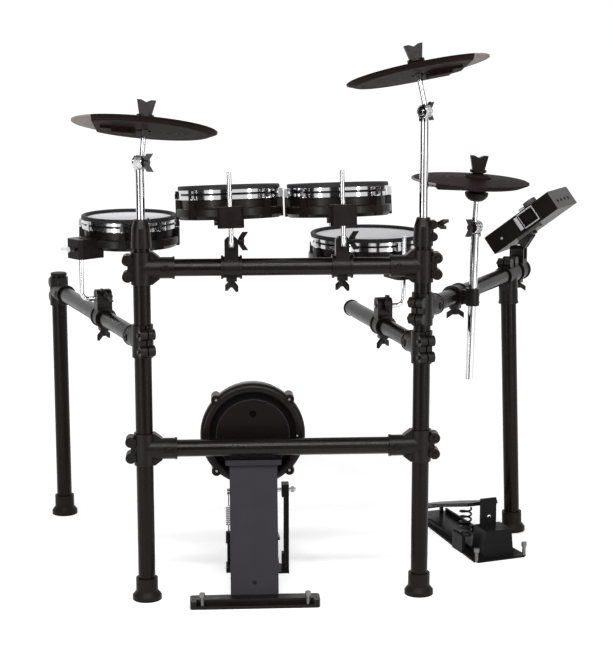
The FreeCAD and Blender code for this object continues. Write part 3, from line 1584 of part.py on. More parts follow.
def build_axle(centre):
    half = size.axle_length / 2
    shaft = cylinder(size.axle_radius, size.axle_length, point(-half, 0, 0), ACROSS)
    cam_half = size.cam_width / 2
    bar = size.cam_bar / 2
    cam = cylinder(size.cam_radius, size.cam_width, point(-cam_half, 0, 0), ACROSS)
    opening = cylinder(size.cam_radius * 0.6, size.cam_width, point(-cam_half, 0, 0), ACROSS)
    spokes = block((-cam_half, cam_half), (-size.cam_radius * 0.7, size.cam_radius * 0.7), (-bar, bar))
    holder_half = size.cam_holder / 2
    holder = block((-holder_half, holder_half), (-holder_half, holder_half),
                   (-holder_half, size.cam_radius * 0.7))
    lever = block((-half, -half + size.lever_width), (0, size.lever_length), (-bar, bar))
    spin(lever, ACROSS, -number(size.lever_rest))
    rest = Rotation(ACROSS, -number(size.beater_rest))
    axle = fuse(shaft, cut(cam, opening), spokes, spin(holder, ACROSS, -number(size.beater_rest)), lever)
    shaft_hole = cylinder(size.beater_shaft_radius, size.cam_radius)
    axle = cut(axle, spin(shaft_hole, ACROSS, -number(size.beater_rest)))
    node("kick_axle", move(axle, Placement(pedal_place(0, 0, centre), Rotation())))
    rod = cylinder(size.beater_shaft_radius, size.beater_length, ORIGIN)
    head = cylinder(size.beater_radius, size.beater_depth,
                    point(0, -size.beater_depth / 2, size.beater_length), BACK)
    inside = cylinder(size.axle_radius, size.cam_holder, point(-size.cam_holder / 2, 0, 0), ACROSS)
    beater = cut(fuse(rod, head), inside)
    node("kick_beater", move(beater, Placement(pedal_place(0, 0, centre), rest)))


def build_kick_spring():
    """Return spring from the nut on the frame up to the lever, with a straight hook at each end."""
    radius = size.kick_spring_radius
    coil = spring(radius, size.kick_spring_wire, size.kick_spring_curls, size.kick_spring_length)
    behind, tip_height = lever_tip()
    low = size.kick_spring_low
    high = low + size.kick_spring_length
    nut_top = size.spring_nut_low + size.spring_nut_height
    upper = cylinder(size.kick_spring_wire, tip_height - number(size.axle_radius) - number(high),
                     point(radius, 0, size.kick_spring_length))
    lower = cylinder(size.kick_spring_wire, low - nut_top, point(radius, 0, nut_top - low))
    place = Placement(pedal_place(-spring_line(), behind - number(radius), low), Rotation(UP, 90))
    node("kick_spring", move(fuse(coil, upper, lower), place))


# Hi-hat pedal: local Y runs from its front to its heel

def housing():
    """Box with tapering sides at the front of the base."""
    low = size.housing_width / 2
    high = size.housing_top_width / 2
    floor = size.hihat_base_sheet
    top = floor + size.housing_height
    body = upright_plate(size.housing_length, (-low, floor), (low, floor), (high, top), (-high, top))
    return shift(body, y=size.housing_front + size.housing_length / 2)


def hihat_hinge():
    """Distance of the footboard's hinge from the front of the base."""
    return size.hihat_base_length - size.hihat_hinge_inset


def tangent(angle):
    return sine(angle) / cosine(angle)


def hihat_sole():
    """Base plate that narrows to the heel, with a rail along each side."""
    half = size.hihat_base_width / 2
    heel_half = size.hihat_heel_width / 2
    length = size.hihat_base_length
    corner = size.hihat_corner
    sole = plate(size.hihat_base_sheet, (corner - half, 0), (half - corner, 0), (half, corner),
                 (heel_half, length), (-heel_half, length), (-half, corner))
    rail = size.hihat_rail_width
    rails = [block((start, start + rail), (size.housing_front + size.housing_length, hihat_hinge()),
                   (0, size.hihat_rail_height)) for start in (-heel_half, heel_half - rail)]
    cheek_side = half - size.cheek_inset
    cheeks = [block(edges, (size.cheek_front, size.cheek_front + size.cheek_length), (0, size.cheek_height))
              for edges in ((-cheek_side, size.cheek_thickness - cheek_side),
                            (cheek_side - size.cheek_thickness, cheek_side))]
    return fuse(sole, *rails, *cheeks)


def build_hihat_pedal():
    sheet_depth = size.hihat_base_sheet
    toe_half = size.toe_plate_width / 2
    toe_depth = size.toe_plate_depth
    toe = block((-toe_half, toe_half), (toe_depth, toe_depth + size.toe_plate_thickness),
                (sheet_depth, size.toe_plate_height))
    hinge = hihat_hinge()
    lug = size.hinge_lug
    inner = size.hihat_board_width / 2 * 0.6 + size.slide_clearance
    ears = [block(edges, (hinge - lug / 2, hinge + lug / 2), (0, size.hihat_hinge_height + lug / 2))
            for edges in ((inner, inner + lug / 2), (-inner - lug / 2, -inner))]
    pin_hole = cylinder(size.hinge_radius + size.axle_clearance, size.hihat_base_width,
                        point(-size.hihat_base_width / 2, hinge, size.hihat_hinge_height), ACROSS)
    body = cut(fuse(hihat_sole(), housing(), toe, *ears), pin_hole)
    holes = [cylinder(size.spur_radius + size.slide_clearance, sheet_depth, spot)
             for spot in spur_places()[2:]]
    node("hihat_pedal_base", cut(move(body, HIHAT_PEDAL), *holes))
    build_hihat_board(inner)
    build_hihat_spring()


def build_hihat_spring():
    """Coil from the base plate up to the underside of the footboard."""
    wire = size.hihat_spring_wire
    start = size.hihat_base_sheet + wire
    behind = hihat_hinge() - size.hihat_spring_depth - size.hihat_spring_radius - wire
    board = size.hihat_hinge_height + behind * tangent(size.hihat_board_rise)
    length = board - wire - size.hihat_spring_room - start
    coil = spring(size.hihat_spring_radius, wire, size.hihat_spring_curls, length)
    seat = Placement(point(0, size.hihat_spring_depth, start), Rotation())
    node("hihat_spring", move(coil, HIHAT_PEDAL.multiply(seat)))


def build_hihat_board(inner):
    front = size.toe_plate_depth + size.toe_plate_thickness + size.hihat_board_gap
    run = (hihat_hinge() - front) / cosine(size.hihat_board_rise)
    half = size.hihat_board_width / 2
    thick = size.hihat_board_thickness
    heel_half = inner - size.slide_clearance
    lug = size.hinge_lug
    corner = size.hihat_corner
    board = plate(thick, (-heel_half, -lug), (heel_half, -lug), (half, -run * 0.3), (half, corner - run),
                  (half - corner, -run), (corner - half, -run), (-half, corner - run), (-half, -run * 0.3))
    slot_half = size.board_slot_length / 2
    starts = [index * size.board_slot_pitch - run * 0.9 for index in range(int(number(size.board_slots)))]
    slots = [block((-slot_half, slot_half), (start, start + size.board_slot_width), (0, thick))
             for start in starts]
    barrel = cylinder(lug / 2, heel_half * 2, point(-heel_half, 0, 0), ACROSS)
    neck = block((-heel_half, heel_half), (-lug * 1.5, 0), (-1, thick))
    pin = cylinder(size.hinge_radius, heel_half * 2 + lug * 0.9, point(-heel_half - lug * 0.45, 0, 0), ACROSS)
    lean = Placement(point(0, hihat_hinge(), size.hihat_hinge_height),
                     Rotation(ACROSS, -number(size.hihat_board_rise)))
    body = fuse(cut(board, *slots), barrel, neck, pin)
    node("hihat_footboard", move(body, HIHAT_PEDAL.multiply(lean)))


# Sound module: X along its width, Y from its rear to its front edge, Z out of its panel

def module_frame():
    """Frame of the module, placed from the pivot of its clamp, with its origin at the rear bottom edge."""
    depth_way = heading(size.right_bar_angle + size.module_turn)
    level = right_of(depth_way)
    width_way = level * cosine(size.module_roll) + UP * sine(size.module_roll)
    pivot = MODULE_CLAMP.multVec(point(0, 0, size.leg_height))
    aside = right_of(RIGHT_WAY) * number(size.module_aside)
    spot = pivot + RIGHT_WAY * number(size.module_along) + aside + UP * number(size.module_rise)
    return frame(spot, width_way, width_way.cross(depth_way))


def jack_row():
    """Distance of each jack from the rear of the module."""
    first = size.jack_row_middle - size.jack_pitch * (number(size.jacks) - 1) / 2
    return [first + index * size.jack_pitch for index in range(int(number(size.jacks)))]


def module_case():
    """Case with chamfered edges, a block and a recess with a connector at the rear, and jacks on one end."""
    half = size.module_width / 2
    depth = size.module_depth
    top = size.module_height
    edge = size.module_chamfer
    body = side_plate(size.module_width, (0, 0), (depth, 0), (depth, top - edge), (depth - edge, top),
                      (edge, top), (0, top - edge))
    margin = size.rear_block_margin
    start = size.panel_start
    rear = block((margin - half, start), (-size.rear_block_depth, edge), (margin, top - edge - margin))
    recess = block((start, start + size.panel_length), (0, size.panel_recess),
                   (size.panel_low, size.panel_low + size.panel_height))
    inset = size.connector_margin
    connector = block((start + inset, start + size.panel_length - inset), (0, size.panel_recess * 2),
                      (size.panel_low + inset, size.panel_low + size.panel_height - inset))
    holes = [cylinder(size.jack_radius, size.jack_depth,
                      point(half - size.jack_depth, y, size.jack_height), ACROSS) for y in jack_row()]
    return fuse(cut(fuse(body, rear), recess, *holes), connector)


def face_frame():
    """Frame of the panel, with its origin at the rear edge."""
    return Placement(point(0, 0, size.module_height), Rotation())


def key_places():
    """Middle of each key on the panel, in a row."""
    count = int(number(size.keys))
    pitch = number(size.key_pitch)
    start = -number(size.module_width) / 4 - (count - 1) * pitch / 2
    row = number(size.module_depth) * 0.3
    return [(start + index * pitch, row) for index in range(count)]


def dial_place():
    return number(size.dial_aside), number(size.dial_radius + size.dial_margin)


def key_block(centre, half, bottom, top):
    x, y = centre
    return block((x - half, x + half), (y - half, y + half), (bottom, top))


def arm_depth(place):
    """Depth under the module at which the arm stands square to the bar."""
    pivot = MODULE_CLAMP.multVec(point(0, 0, size.leg_height))
    start = place.multVec(point(0, 0, -size.mount_plate_thickness - size.module_pivot_radius))
    way = place.Rotation.multVec(BACK)
    return (pivot - start).dot(RIGHT_WAY) / way.dot(RIGHT_WAY)


def build_module():
    place = module_frame()
    face = face_frame()
    key = size.key_size / 2
    room = key + size.key_clearance
    well_bottom = -size.key_sink - size.key_travel
    wells = [move(key_block(spot, room, well_bottom, size.key_sink), face) for spot in key_places()]
    dial_x, dial_y = dial_place()
    spindle = size.dial_radius / 3
    well = cylinder(spindle + size.key_clearance, size.key_sink * 2,
                    point(dial_x, dial_y, -size.key_sink - size.key_clearance))
    body = cut(module_case(), *wells, move(well, face))
    half = size.mount_plate_size / 2
    depth = arm_depth(place)
    low = -size.mount_plate_thickness
    mount = block((-half, half), (depth - half / 2, depth + half / 2), (low, 0))
    node("module_case", move(fuse(body, mount), place))
    for index, spot in enumerate(key_places(), 1):
        cap = move(key_block(spot, key, -size.key_sink, size.key_height), face)
        node(f"module_key_{index}", move(cap, place))
    knob = cylinder(size.dial_radius, size.dial_height, point(dial_x, dial_y, size.key_clearance))
    shaft = cylinder(spindle, size.key_sink + size.key_clearance, point(dial_x, dial_y, -size.key_sink))
    node("module_dial", move(move(fuse(knob, shaft), face), place))
    build_module_bracket(place, depth, low)


def build_module_bracket(place, depth, low):
    """Arm from the pivot in the clamp's ears to the plate under the module."""
    pivot = MODULE_CLAMP.multVec(point(0, 0, size.leg_height))
    under = place.multVec(point(0, depth, low))
    normal = place.Rotation.multVec(UP)
    end = under - normal * number(size.module_pivot_radius)
    way = end - pivot
    across = MODULE_CLAMP.Rotation.multVec(ACROSS)
    half = number(size.module_ear) / 2
    pin_half = number(size.clamp_cheek_width) / 2
    pin = cylinder(size.bolt_radius, size.clamp_cheek_width, pivot - across * pin_half, across)
    eye = cylinder(size.module_pivot_radius, size.module_ear, pivot - across * half, across)
    bar = cylinder(size.module_arm_radius, way.Length, pivot, way)
    foot = cylinder(size.module_pivot_radius * 2, size.module_pivot_radius, end, normal)
    node("module_bracket", fuse(pin, eye, bar, foot))


def check_and_write():
    doc.recompute()
    failed = [thing for thing in doc.Objects if "Invalid" in thing.State or "Error" in thing.State]
    for thing in failed:
        users = [user.Label for user in thing.InListRecursive if user in nodes]
        print(thing.Name, "failed in", users)
    if failed:
        raise RuntimeError(f"{len(failed)} features failed")
    os.makedirs("parts", exist_ok=True)
    for group in nodes:
        shape = group.Shape
        if shape.isNull() or not shape.isValid() or not shape.Solids:
            raise RuntimeError(f"{group.Label} has no valid solid")
    for group in nodes:
        group.Shape.exportStep(f"parts/{group.Label}.step")
    print(len(nodes), "sub-parts")


build_tubes()
build_feet()
build_clamps()
build_bolts()
build_collars()
build_pads()
build_cymbals()
build_kick_tower()
build_spurs()
build_kick_pedal()
build_hihat_pedal()
build_module()
check_and_write()
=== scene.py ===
import json
import math

import bmesh
import bpy
from mathutils import Euler, Matrix, Vector


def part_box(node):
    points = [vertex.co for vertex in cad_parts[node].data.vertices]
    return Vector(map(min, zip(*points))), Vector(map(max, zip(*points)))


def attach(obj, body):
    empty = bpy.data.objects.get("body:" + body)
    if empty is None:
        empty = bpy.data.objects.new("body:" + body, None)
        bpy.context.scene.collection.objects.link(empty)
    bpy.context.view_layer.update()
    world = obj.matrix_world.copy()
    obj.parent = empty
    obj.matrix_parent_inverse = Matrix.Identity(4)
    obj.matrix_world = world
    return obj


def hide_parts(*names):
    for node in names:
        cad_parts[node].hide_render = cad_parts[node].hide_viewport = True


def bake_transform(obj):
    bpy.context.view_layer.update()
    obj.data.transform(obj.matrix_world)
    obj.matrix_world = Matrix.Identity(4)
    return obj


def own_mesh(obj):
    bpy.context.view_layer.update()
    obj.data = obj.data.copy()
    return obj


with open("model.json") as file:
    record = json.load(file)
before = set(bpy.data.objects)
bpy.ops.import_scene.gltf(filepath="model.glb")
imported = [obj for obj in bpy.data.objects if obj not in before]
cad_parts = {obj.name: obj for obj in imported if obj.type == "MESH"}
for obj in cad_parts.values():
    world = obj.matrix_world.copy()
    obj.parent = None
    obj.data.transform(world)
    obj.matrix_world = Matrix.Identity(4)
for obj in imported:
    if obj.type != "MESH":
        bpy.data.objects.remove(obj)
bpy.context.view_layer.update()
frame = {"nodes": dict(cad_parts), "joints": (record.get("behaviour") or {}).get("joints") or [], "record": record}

bl_info = {
    "name": "Electronic drum kit",
    "version": (1, 0, 0),
    "blender": (4, 5, 0),
    "location": "View3D > Sidebar > Drum kit",
    "description": "Finishes, trim and studio for a tube-rack electronic drum kit",
    "category": "Object",
}

NODES = frame["nodes"]
JOINTS = {joint["name"]: joint for joint in frame["joints"]}
MOUNTS = {mount["name"]: mount for mount in frame["record"]["mounts"]}
DRUMS = ("tom_1", "tom_2", "floor_tom", "snare")
CYMBALS = ("ride", "crash", "hihat")
UP = Vector((0.0, 0.0, 1.0))
ACROSS = Vector((1.0, 0.0, 0.0))
FORWARD = Vector((0.0, -1.0, 0.0))
FULL_TURN = 2.0 * math.pi
PHOTO_WIDTH = 613
PHOTO_HEIGHT = 648


def joint_place(name):
    """Where a joint is, in the row frame."""
    return Vector(JOINTS[name]["pos_m"])


def joint_axis(name):
    return Vector(JOINTS[name]["axis"])


def colour_property(name, description, default):
    return bpy.props.FloatVectorProperty(
        name=name, description=description, default=default, size=3, min=0.0, max=1.0, subtype="COLOR")


def length_property(name, description, default):
    return bpy.props.FloatProperty(
        name=name, description=description, default=default, min=0.0, unit="LENGTH")


def count_property(name, description, default):
    return bpy.props.IntProperty(name=name, description=description, default=default, min=1)


class KitFinishes(bpy.types.PropertyGroup):
    tube: colour_property("Tubes", "Powder coat of the rack tubes", (0.0044, 0.0023, 0.0022))
    clamp: colour_property("Clamps", "Moulded plastic of the clamps", (0.0058, 0.0037, 0.0035))
    rubber: colour_property("Rubber", "Feet and caps", (0.0070, 0.0052, 0.0040))
    rim: colour_property("Rims", "Rubber rims of the pads", (0.016, 0.0150, 0.0155))
    shell: colour_property("Shells", "Shells of the pads", (0.0068, 0.0045, 0.0046))
    cymbal: colour_property("Cymbals", "Rubber of the cymbal pads", (0.0105, 0.0068, 0.0062))
    wedge: colour_property("Cymbal bow", "Thin bow beside the tray of a cymbal pad", (0.25, 0.225, 0.215))
    plate: colour_property("Tower plate", "Coated steel of the kick tower", (0.0240, 0.0222, 0.0266))
    pedal: colour_property("Pedals", "Coated metal of the pedals", (0.0062, 0.0058, 0.0058))
    chrome: colour_property("Chrome", "Plated rods, arms and hoops", (0.62, 0.62, 0.63))
    steel: colour_property("Steel", "Springs and screws", (0.30, 0.29, 0.28))
    mesh: colour_property("Mesh", "Woven heads", (0.88, 0.88, 0.90))
    module: colour_property("Module", "Case of the sound module", (0.0062, 0.0042, 0.0042))
    module_end: colour_property("Module ends", "Grey end and underside of the module", (0.105, 0.099, 0.098))
    felt: colour_property("Beater", "Felt of the kick beater", (0.42, 0.39, 0.34))
    floor: colour_property("Floor", "Studio floor", (0.90, 0.90, 0.90))


class KitDetails(bpy.types.PropertyGroup):
    """Sizes of the trim"""
    teeth: count_property("Ratchet teeth", "Teeth round each half of a cymbal ratchet", 30)
    tooth: length_property("Tooth height", "Height of the teeth on the cymbal ratchets", 0.0009)
    threads: count_property("Threads", "Turns of thread that show on a floor spur", 12)
    thread_pitch: length_property("Thread pitch", "Distance between turns of a spur's thread", 0.0015)
    weave: length_property("Mesh pitch", "Distance between threads of the heads", 0.0016)
    groove: length_property("Cymbal groove", "Distance between rings on the cymbals", 0.004)
    edge: length_property("Soft edge", "Radius that moulded edges seem to have", 0.0009)


# Materials

class Wiring:
    """A node tree under construction."""

    def add(self, kind, inputs=None, **settings):
        node = self.tree.nodes.new(kind)
        for name, value in settings.items():
            setattr(node, name, value)
        for name, value in (inputs or {}).items():
            if isinstance(value, bpy.types.NodeSocket):
                self.tree.links.new(value, node.inputs[name])
            else:
                node.inputs[name].default_value = value
        return node

    def math(self, operation, one, other=0.0):
        return self.add("ShaderNodeMath", {0: one, 1: other}, operation=operation).outputs[0]

    def times(self, one, other):
        return self.math("MULTIPLY", one, other)

    def remap(self, value, low, high, new_low, new_high):
        limits = {"From Min": low, "From Max": high, "To Min": new_low, "To Max": new_high}
        return self.add("ShaderNodeMapRange", {"Value": value, **limits}).outputs["Result"]

    def drive(self, socket, name):
        """Links a socket to an input of the shader."""
        self.tree.links.new(socket, self.shader.inputs[name])


RELIEF_DEPTH = 0.0005
# Parts of a noise's range that are spread out
NOISE_MIDDLE = (0.3, 0.7)
SPECK_MIDDLE = (0.35, 0.65)


class Finish(Wiring):
    """A material under construction, with its main shader at hand."""

    def __init__(self, name, colour, roughness, metallic=0.0, gloss=0.5):
        self.material = bpy.data.materials.new(name)
        self.material.use_nodes = True
        self.tree = self.material.node_tree
        self.shader = self.tree.nodes["Principled BSDF"]
        self.shader.inputs["Base Color"].default_value = (*colour, 1.0)
        self.shader.inputs["Roughness"].default_value = roughness
        self.shader.inputs["Metallic"].default_value = metallic
        self.shader.inputs["Specular IOR Level"].default_value = gloss
        self.colour = tuple(colour)

    def coords(self, to_local=None):
        """Object coordinates, turned into a piece's own frame where a matrix is given."""
        place = self.add("ShaderNodeTexCoord").outputs["Object"]
        if to_local is None:
            return place
        inputs = {"Vector": place, "Location": to_local.to_translation(), "Rotation": to_local.to_euler()}
        return self.add("ShaderNodeMapping", inputs).outputs["Vector"]

    def noise(self, vector, scale, detail=2.0):
        node = self.add("ShaderNodeTexNoise", {"Vector": vector, "Scale": scale, "Detail": detail})
        return node.outputs["Fac"]

    def above(self, value, limit):
        return self.math("GREATER_THAN", value, limit)

    def below(self, value, limit):
        return self.math("LESS_THAN", value, limit)

    def distance(self, one, other):
        """Length of the two-dimensional vector with these parts."""
        return self.math("SQRT", self.math("ADD", self.times(one, one), self.times(other, other)))

    def split(self, vector):
        return self.add("ShaderNodeSeparateXYZ", {"Vector": vector}).outputs

    def mix(self, factor, one, other):
        """Colour between two colours or sockets."""
        ends = [end if isinstance(end, bpy.types.NodeSocket) else (*end, 1.0) for end in (one, other)]
        sockets = {0: factor, 6: ends[0], 7: ends[1]}
        return self.add("ShaderNodeMix", sockets, data_type="RGBA").outputs[2]

    def tinted(self, factor):
        return tuple(channel * factor for channel in self.colour)

    def clouds(self, vector, scale, spread):
        """Colour that changes slowly over the surface."""
        return self.mix(self.noise(vector, scale, 3.0), self.tinted(1.0 - spread), self.tinted(1.0 + spread))

    def uneven(self, vector, scale, low, high, detail=2.0):
        """Roughness that wanders between two values."""
        self.drive(self.remap(self.noise(vector, scale, detail), *NOISE_MIDDLE, low, high), "Roughness")

    def specks(self, vector, scale, detail):
        """Small patches, from zero to one."""
        return self.remap(self.noise(vector, scale, detail), *SPECK_MIDDLE, 0.0, 1.0)

    def grain(self, vector, scale, strength, edge=0.0):
        """Fine bump, with edges rounded off in the shading where a radius is given."""
        self.relief(self.noise(vector, scale), strength, edge)

    def relief(self, height, strength, edge=0.0):
        bump = self.add("ShaderNodeBump", {"Height": height, "Strength": strength, "Distance": RELIEF_DEPTH})
        if edge:
            rounded = self.add("ShaderNodeBevel", {"Radius": edge}, samples=4)
            self.tree.links.new(rounded.outputs["Normal"], bump.inputs["Normal"])
        self.tree.links.new(bump.outputs["Normal"], self.shader.inputs["Normal"])


def finishes():
    return bpy.context.scene.kit_finishes


def details():
    return bpy.context.scene.kit_details


def shared(maker):
    """The material of a maker that needs no other input, made once."""
    name = f"kit_{maker.__name__}"
    return bpy.data.materials.get(name) or maker(name).material


def coated(name, colour, roughness, gloss, clouds, grain):
    """Coat or plastic: clouds (scale and spread), uneven gloss, grain (scale and depth), soft edges."""
    finish = Finish(name, colour, roughness, gloss=gloss)
    place = finish.coords()
    finish.drive(finish.clouds(place, *clouds), "Base Color")
    finish.uneven(place, clouds[0] * 3.0, roughness * 0.85, roughness * 1.2)
    finish.grain(place, *grain, details().edge)
    return finish


def tube_coat(name, gloss):
    return coated(name, finishes().tube, 0.25, gloss, clouds=(9.0, 0.25), grain=(700.0, 0.12))


def powder_coat(name):
    """Satin powder coat of the posts and legs."""
    return tube_coat(name, gloss=0.115)


def bar_coat(name):
    """Powder coat of the bars, with a little more gloss than the posts have."""
    return tube_coat(name, gloss=0.19)


def clamp_plastic(name):
    """Grained plastic of the clamps, collars and nuts."""
    return coated(name, finishes().clamp, 0.33, gloss=0.15, clouds=(25.0, 0.3), grain=(1200.0, 0.15))


def foot_rubber(name):
    return coated(name, finishes().rubber, 0.45, gloss=0.1, clouds=(30.0, 0.3), grain=(900.0, 0.2))


def rim_rubber(name):
    return coated(name, finishes().rim, 0.5, gloss=0.12, clouds=(40.0, 0.2), grain=(1100.0, 0.15))


def shell_plastic(name):
    """Smooth dark shell with a soft gloss."""
    return coated(name, finishes().shell, 0.28, gloss=0.14, clouds=(18.0, 0.2), grain=(800.0, 0.06))


# Middle of the kick pad's back, and radii on it
KICK_BACK = Vector((0.0, 0.1045, 0.362))
KICK_DISC = 0.0835
KICK_GROOVE = 0.0945
KICK_HOLE = 0.0078
KICK_HOLE_RISE = 0.049


def kick_plastic(name):
    """Shell plastic of the kick pad: dull and darkened with painted shade in the groove and the hole, even on the
    disc.
    """
    finish = Finish(name, finishes().shell, 0.3, gloss=0.11)
    place = finish.coords(Matrix.Translation(-KICK_BACK))
    x, y, z = finish.split(place)
    radius = finish.distance(x, z)
    disc = finish.below(radius, KICK_DISC)
    groove = finish.math("SUBTRACT", finish.below(radius, KICK_GROOVE), disc)
    rise = finish.math("SUBTRACT", z, KICK_HOLE_RISE)
    hole = finish.below(finish.distance(x, rise), KICK_HOLE)
    recess_shade_mask = finish.math("MAXIMUM", groove, hole)
    face = finish.mix(disc, finish.clouds(place, 18.0, 0.2), finish.tinted(0.8))
    # Painted shade: the groove and the hole take 0.15 of the shell's colour.
    finish.drive(finish.mix(recess_shade_mask, face, finish.tinted(0.15)), "Base Color")
    finish.drive(finish.remap(recess_shade_mask, 0.0, 1.0, 0.3, 0.95), "Roughness")
    finish.grain(place, 800.0, 0.06, details().edge)
    return finish


def tower_steel(name):
    """Coated sheet of the kick tower, a little lighter than the tubes."""
    return coated(name, finishes().plate, 0.42, gloss=0.12, clouds=(6.0, 0.1), grain=(1000.0, 0.08))


def pedal_metal(name):
    return coated(name, finishes().pedal, 0.36, gloss=0.07, clouds=(22.0, 0.25), grain=(900.0, 0.1))


def plated(name):
    return Finish(name, finishes().chrome, 0.08, metallic=1.0)


def chrome_plate(name):
    """Bright plating, a little uneven."""
    finish = plated(name)
    place = finish.coords()
    finish.uneven(place, 14.0, 0.09, 0.13, detail=1.0)
    finish.drive(finish.clouds(place, 14.0, 0.05), "Base Color")
    return finish


def bare_metal(name, colour, clouds, roughness):
    """Metal with clouds (scale and spread) and with roughness between two values."""
    finish = Finish(name, colour, roughness[0], metallic=1.0)
    place = finish.coords()
    finish.drive(finish.clouds(place, *clouds), "Base Color")
    finish.uneven(place, clouds[0] * 1.5, *roughness)
    return finish


def spring_wire(name):
    """Drawn steel wire, a little dull."""
    return bare_metal(name, finishes().steel, clouds=(60.0, 0.2), roughness=(0.22, 0.4))


def spur_steel(name):
    """Dull zinc of the floor spurs."""
    return bare_metal(name, (0.17, 0.165, 0.16), clouds=(80.0, 0.25), roughness=(0.3, 0.48))


def dark_wire(name):
    """Black-oxide wire of the hi-hat pedal's spring."""
    return coated(name, (0.010, 0.010, 0.010), 0.3, gloss=0.3, clouds=(60.0, 0.2), grain=(600.0, 0.05))


def two_part(finish, place, mask, colour, roughness):
    """Turns a metal finish into a dull one where the mask is one."""
    bare = finish.clouds(place, 30.0, 0.06)
    finish.drive(finish.mix(mask, bare, colour), "Base Color")
    finish.drive(finish.math("SUBTRACT", 1.0, mask), "Metallic")
    finish.drive(finish.remap(mask, 0.0, 1.0, 0.08, roughness), "Roughness")


# Where a finish changes, measured from the rock joint, the tilt joint or the axle
SEAT_LOW = -0.0165
CUP_LOW = -0.040
TILTER_ROD_REACH = 0.0075
KNUCKLE_END = 0.00915
WING_REACH = 0.0195
FELT_START = 0.134
AXLE_REACH = 0.0056


def tilter_plate(cymbal):
    """Chrome rod and ratchet with a black seat, and a black cup below where there is one."""
    finish = plated(f"{cymbal}_tilter_plate")
    place = finish.coords(cymbal_frame(cymbal))
    x, y, z = finish.split(place)
    seat = finish.above(z, SEAT_LOW)
    beside_rod = finish.above(finish.distance(x, y), TILTER_ROD_REACH)
    cup = finish.times(beside_rod, finish.above(z, CUP_LOW))
    two_part(finish, place, finish.math("MAXIMUM", seat, cup), finishes().clamp, 0.5)
    return finish.material


def arm_plate(cymbal):
    """Chrome arm whose ratchet has a black wing bolt."""
    finish = plated(f"{cymbal}_arm_plate")
    tilt = f"{cymbal}_tilt"
    place = finish.coords(stand(joint_place(tilt), joint_axis(tilt), UP).inverted())
    x, y, z = finish.split(place)
    near = finish.below(finish.distance(x, y), WING_REACH)
    bolt = finish.times(near, finish.above(z, KNUCKLE_END))
    two_part(finish, place, bolt, finishes().clamp, 0.4)
    return finish.material


def beater_finish(name):
    """Chrome rod with a felt head, told apart by the distance from the axle."""
    finish = plated(name)
    place = finish.coords(Matrix.Translation(-joint_place("kick_axle_turn")))
    x, y, z = finish.split(place)
    felt = finish.above(finish.distance(y, z), FELT_START)
    two_part(finish, place, felt, finishes().felt, 0.9)
    fuzz = finish.times(felt, finish.noise(place, 1800.0, 4.0))
    finish.relief(fuzz, 0.8)
    return finish


def axle_finish(name):
    """Coated cam and lever on a bright axle."""
    finish = plated(name)
    place = finish.coords(Matrix.Translation(-joint_place("kick_axle_turn")))
    x, y, z = finish.split(place)
    coat = finish.above(finish.distance(y, z), AXLE_REACH)
    two_part(finish, place, coat, finishes().pedal, 0.4)
    return finish


def woven_strap(name):
    """Nylon strap with a diagonal weave."""
    finish = Finish(name, (0.012, 0.012, 0.013), 0.7, gloss=0.3)
    place = finish.coords()
    wave = finish.add("ShaderNodeTexWave", {"Vector": place, "Scale": 400.0}, bands_direction="DIAGONAL")
    finish.relief(wave.outputs["Fac"], 0.6)
    finish.drive(finish.clouds(place, 120.0, 0.3), "Base Color")
    return finish


def mesh_weave(name):
    """White woven mesh: two sets of threads with small dark gaps."""
    finish = Finish(name, finishes().mesh, 0.6, gloss=0.3)
    x, y, z = finish.split(finish.coords())
    rate = FULL_TURN / details().weave
    first = finish.math("SINE", finish.times(x, rate))
    second = finish.math("SINE", finish.times(finish.math("ADD", y, z), rate))
    threads = finish.math("MAXIMUM", first, second)
    shade = finish.remap(threads, -1.0, 0.2, 0.0, 1.0)
    finish.drive(finish.mix(shade, finish.tinted(0.80), finish.tinted(1.0)), "Base Color")
    finish.relief(threads, 0.25)
    return finish


def cymbal_frame(name):
    """Matrix from the row frame into a cymbal's own frame, with Z along the stud."""
    level = joint_axis(f"{name}_rock")
    up = joint_axis(f"{name}_nut_spin")
    turn = Matrix((level, up.cross(level), up)).to_4x4()
    return turn @ Matrix.Translation(-joint_place(f"{name}_rock"))


# Lighter bow under each cymbal, beyond a chord on one side
BOW_TOP = 0.0046
BOWS = {"ride": {"side": -1.0, "chord": 0.1075}, "crash": {"side": 1.0, "chord": 0.1075},
        "hihat": {"side": -1.0, "chord": 0.1068}}
# How far the painted sheen streaks wander from pure rings
SHEEN_STREAK_DRIFT = 0.04


def cymbal_rubber(cymbal):
    """Matte rubber with fine rings, streaks along the turning that paint a sheen into its colour and vary its
    roughness, and a lighter bow where the tray stops short.
    """
    finish = Finish(f"{cymbal}_rubber", finishes().cymbal, 0.5, gloss=0.01)
    place = finish.coords(cymbal_frame(cymbal))
    x, y, z = finish.split(place)
    radius = finish.distance(x, y)
    rings = finish.math("SINE", finish.times(radius, FULL_TURN / details().groove))
    bow = BOWS[cymbal]
    beyond = finish.above(finish.times(x, bow["side"]), bow["chord"])
    mask = finish.times(beyond, finish.below(z, BOW_TOP))
    drift = [finish.times(part, SHEEN_STREAK_DRIFT) for part in (y, z)]
    turned = finish.add("ShaderNodeCombineXYZ", {"X": radius, "Y": drift[0], "Z": drift[1]})
    sheen_streak = finish.specks(turned.outputs[0], 150.0, 3.0)
    # Painted sheen: the streaks lighten and darken the rubber's colour along the turning.
    rubber = finish.mix(sheen_streak, finish.tinted(0.55), finish.tinted(1.7))
    finish.drive(finish.mix(mask, rubber, finishes().wedge), "Base Color")
    finish.drive(finish.remap(sheen_streak, 0.0, 1.0, 0.42, 0.6), "Roughness")
    finish.relief(rings, 0.12, details().edge)
    return finish.material


SCREEN_ROW = 0.0012
FACE_MARGIN = 0.0004
# Distance from a jack's middle to the module's end, and to its underside
JACK_FACE = 0.006
JACK_RISE = 0.0205


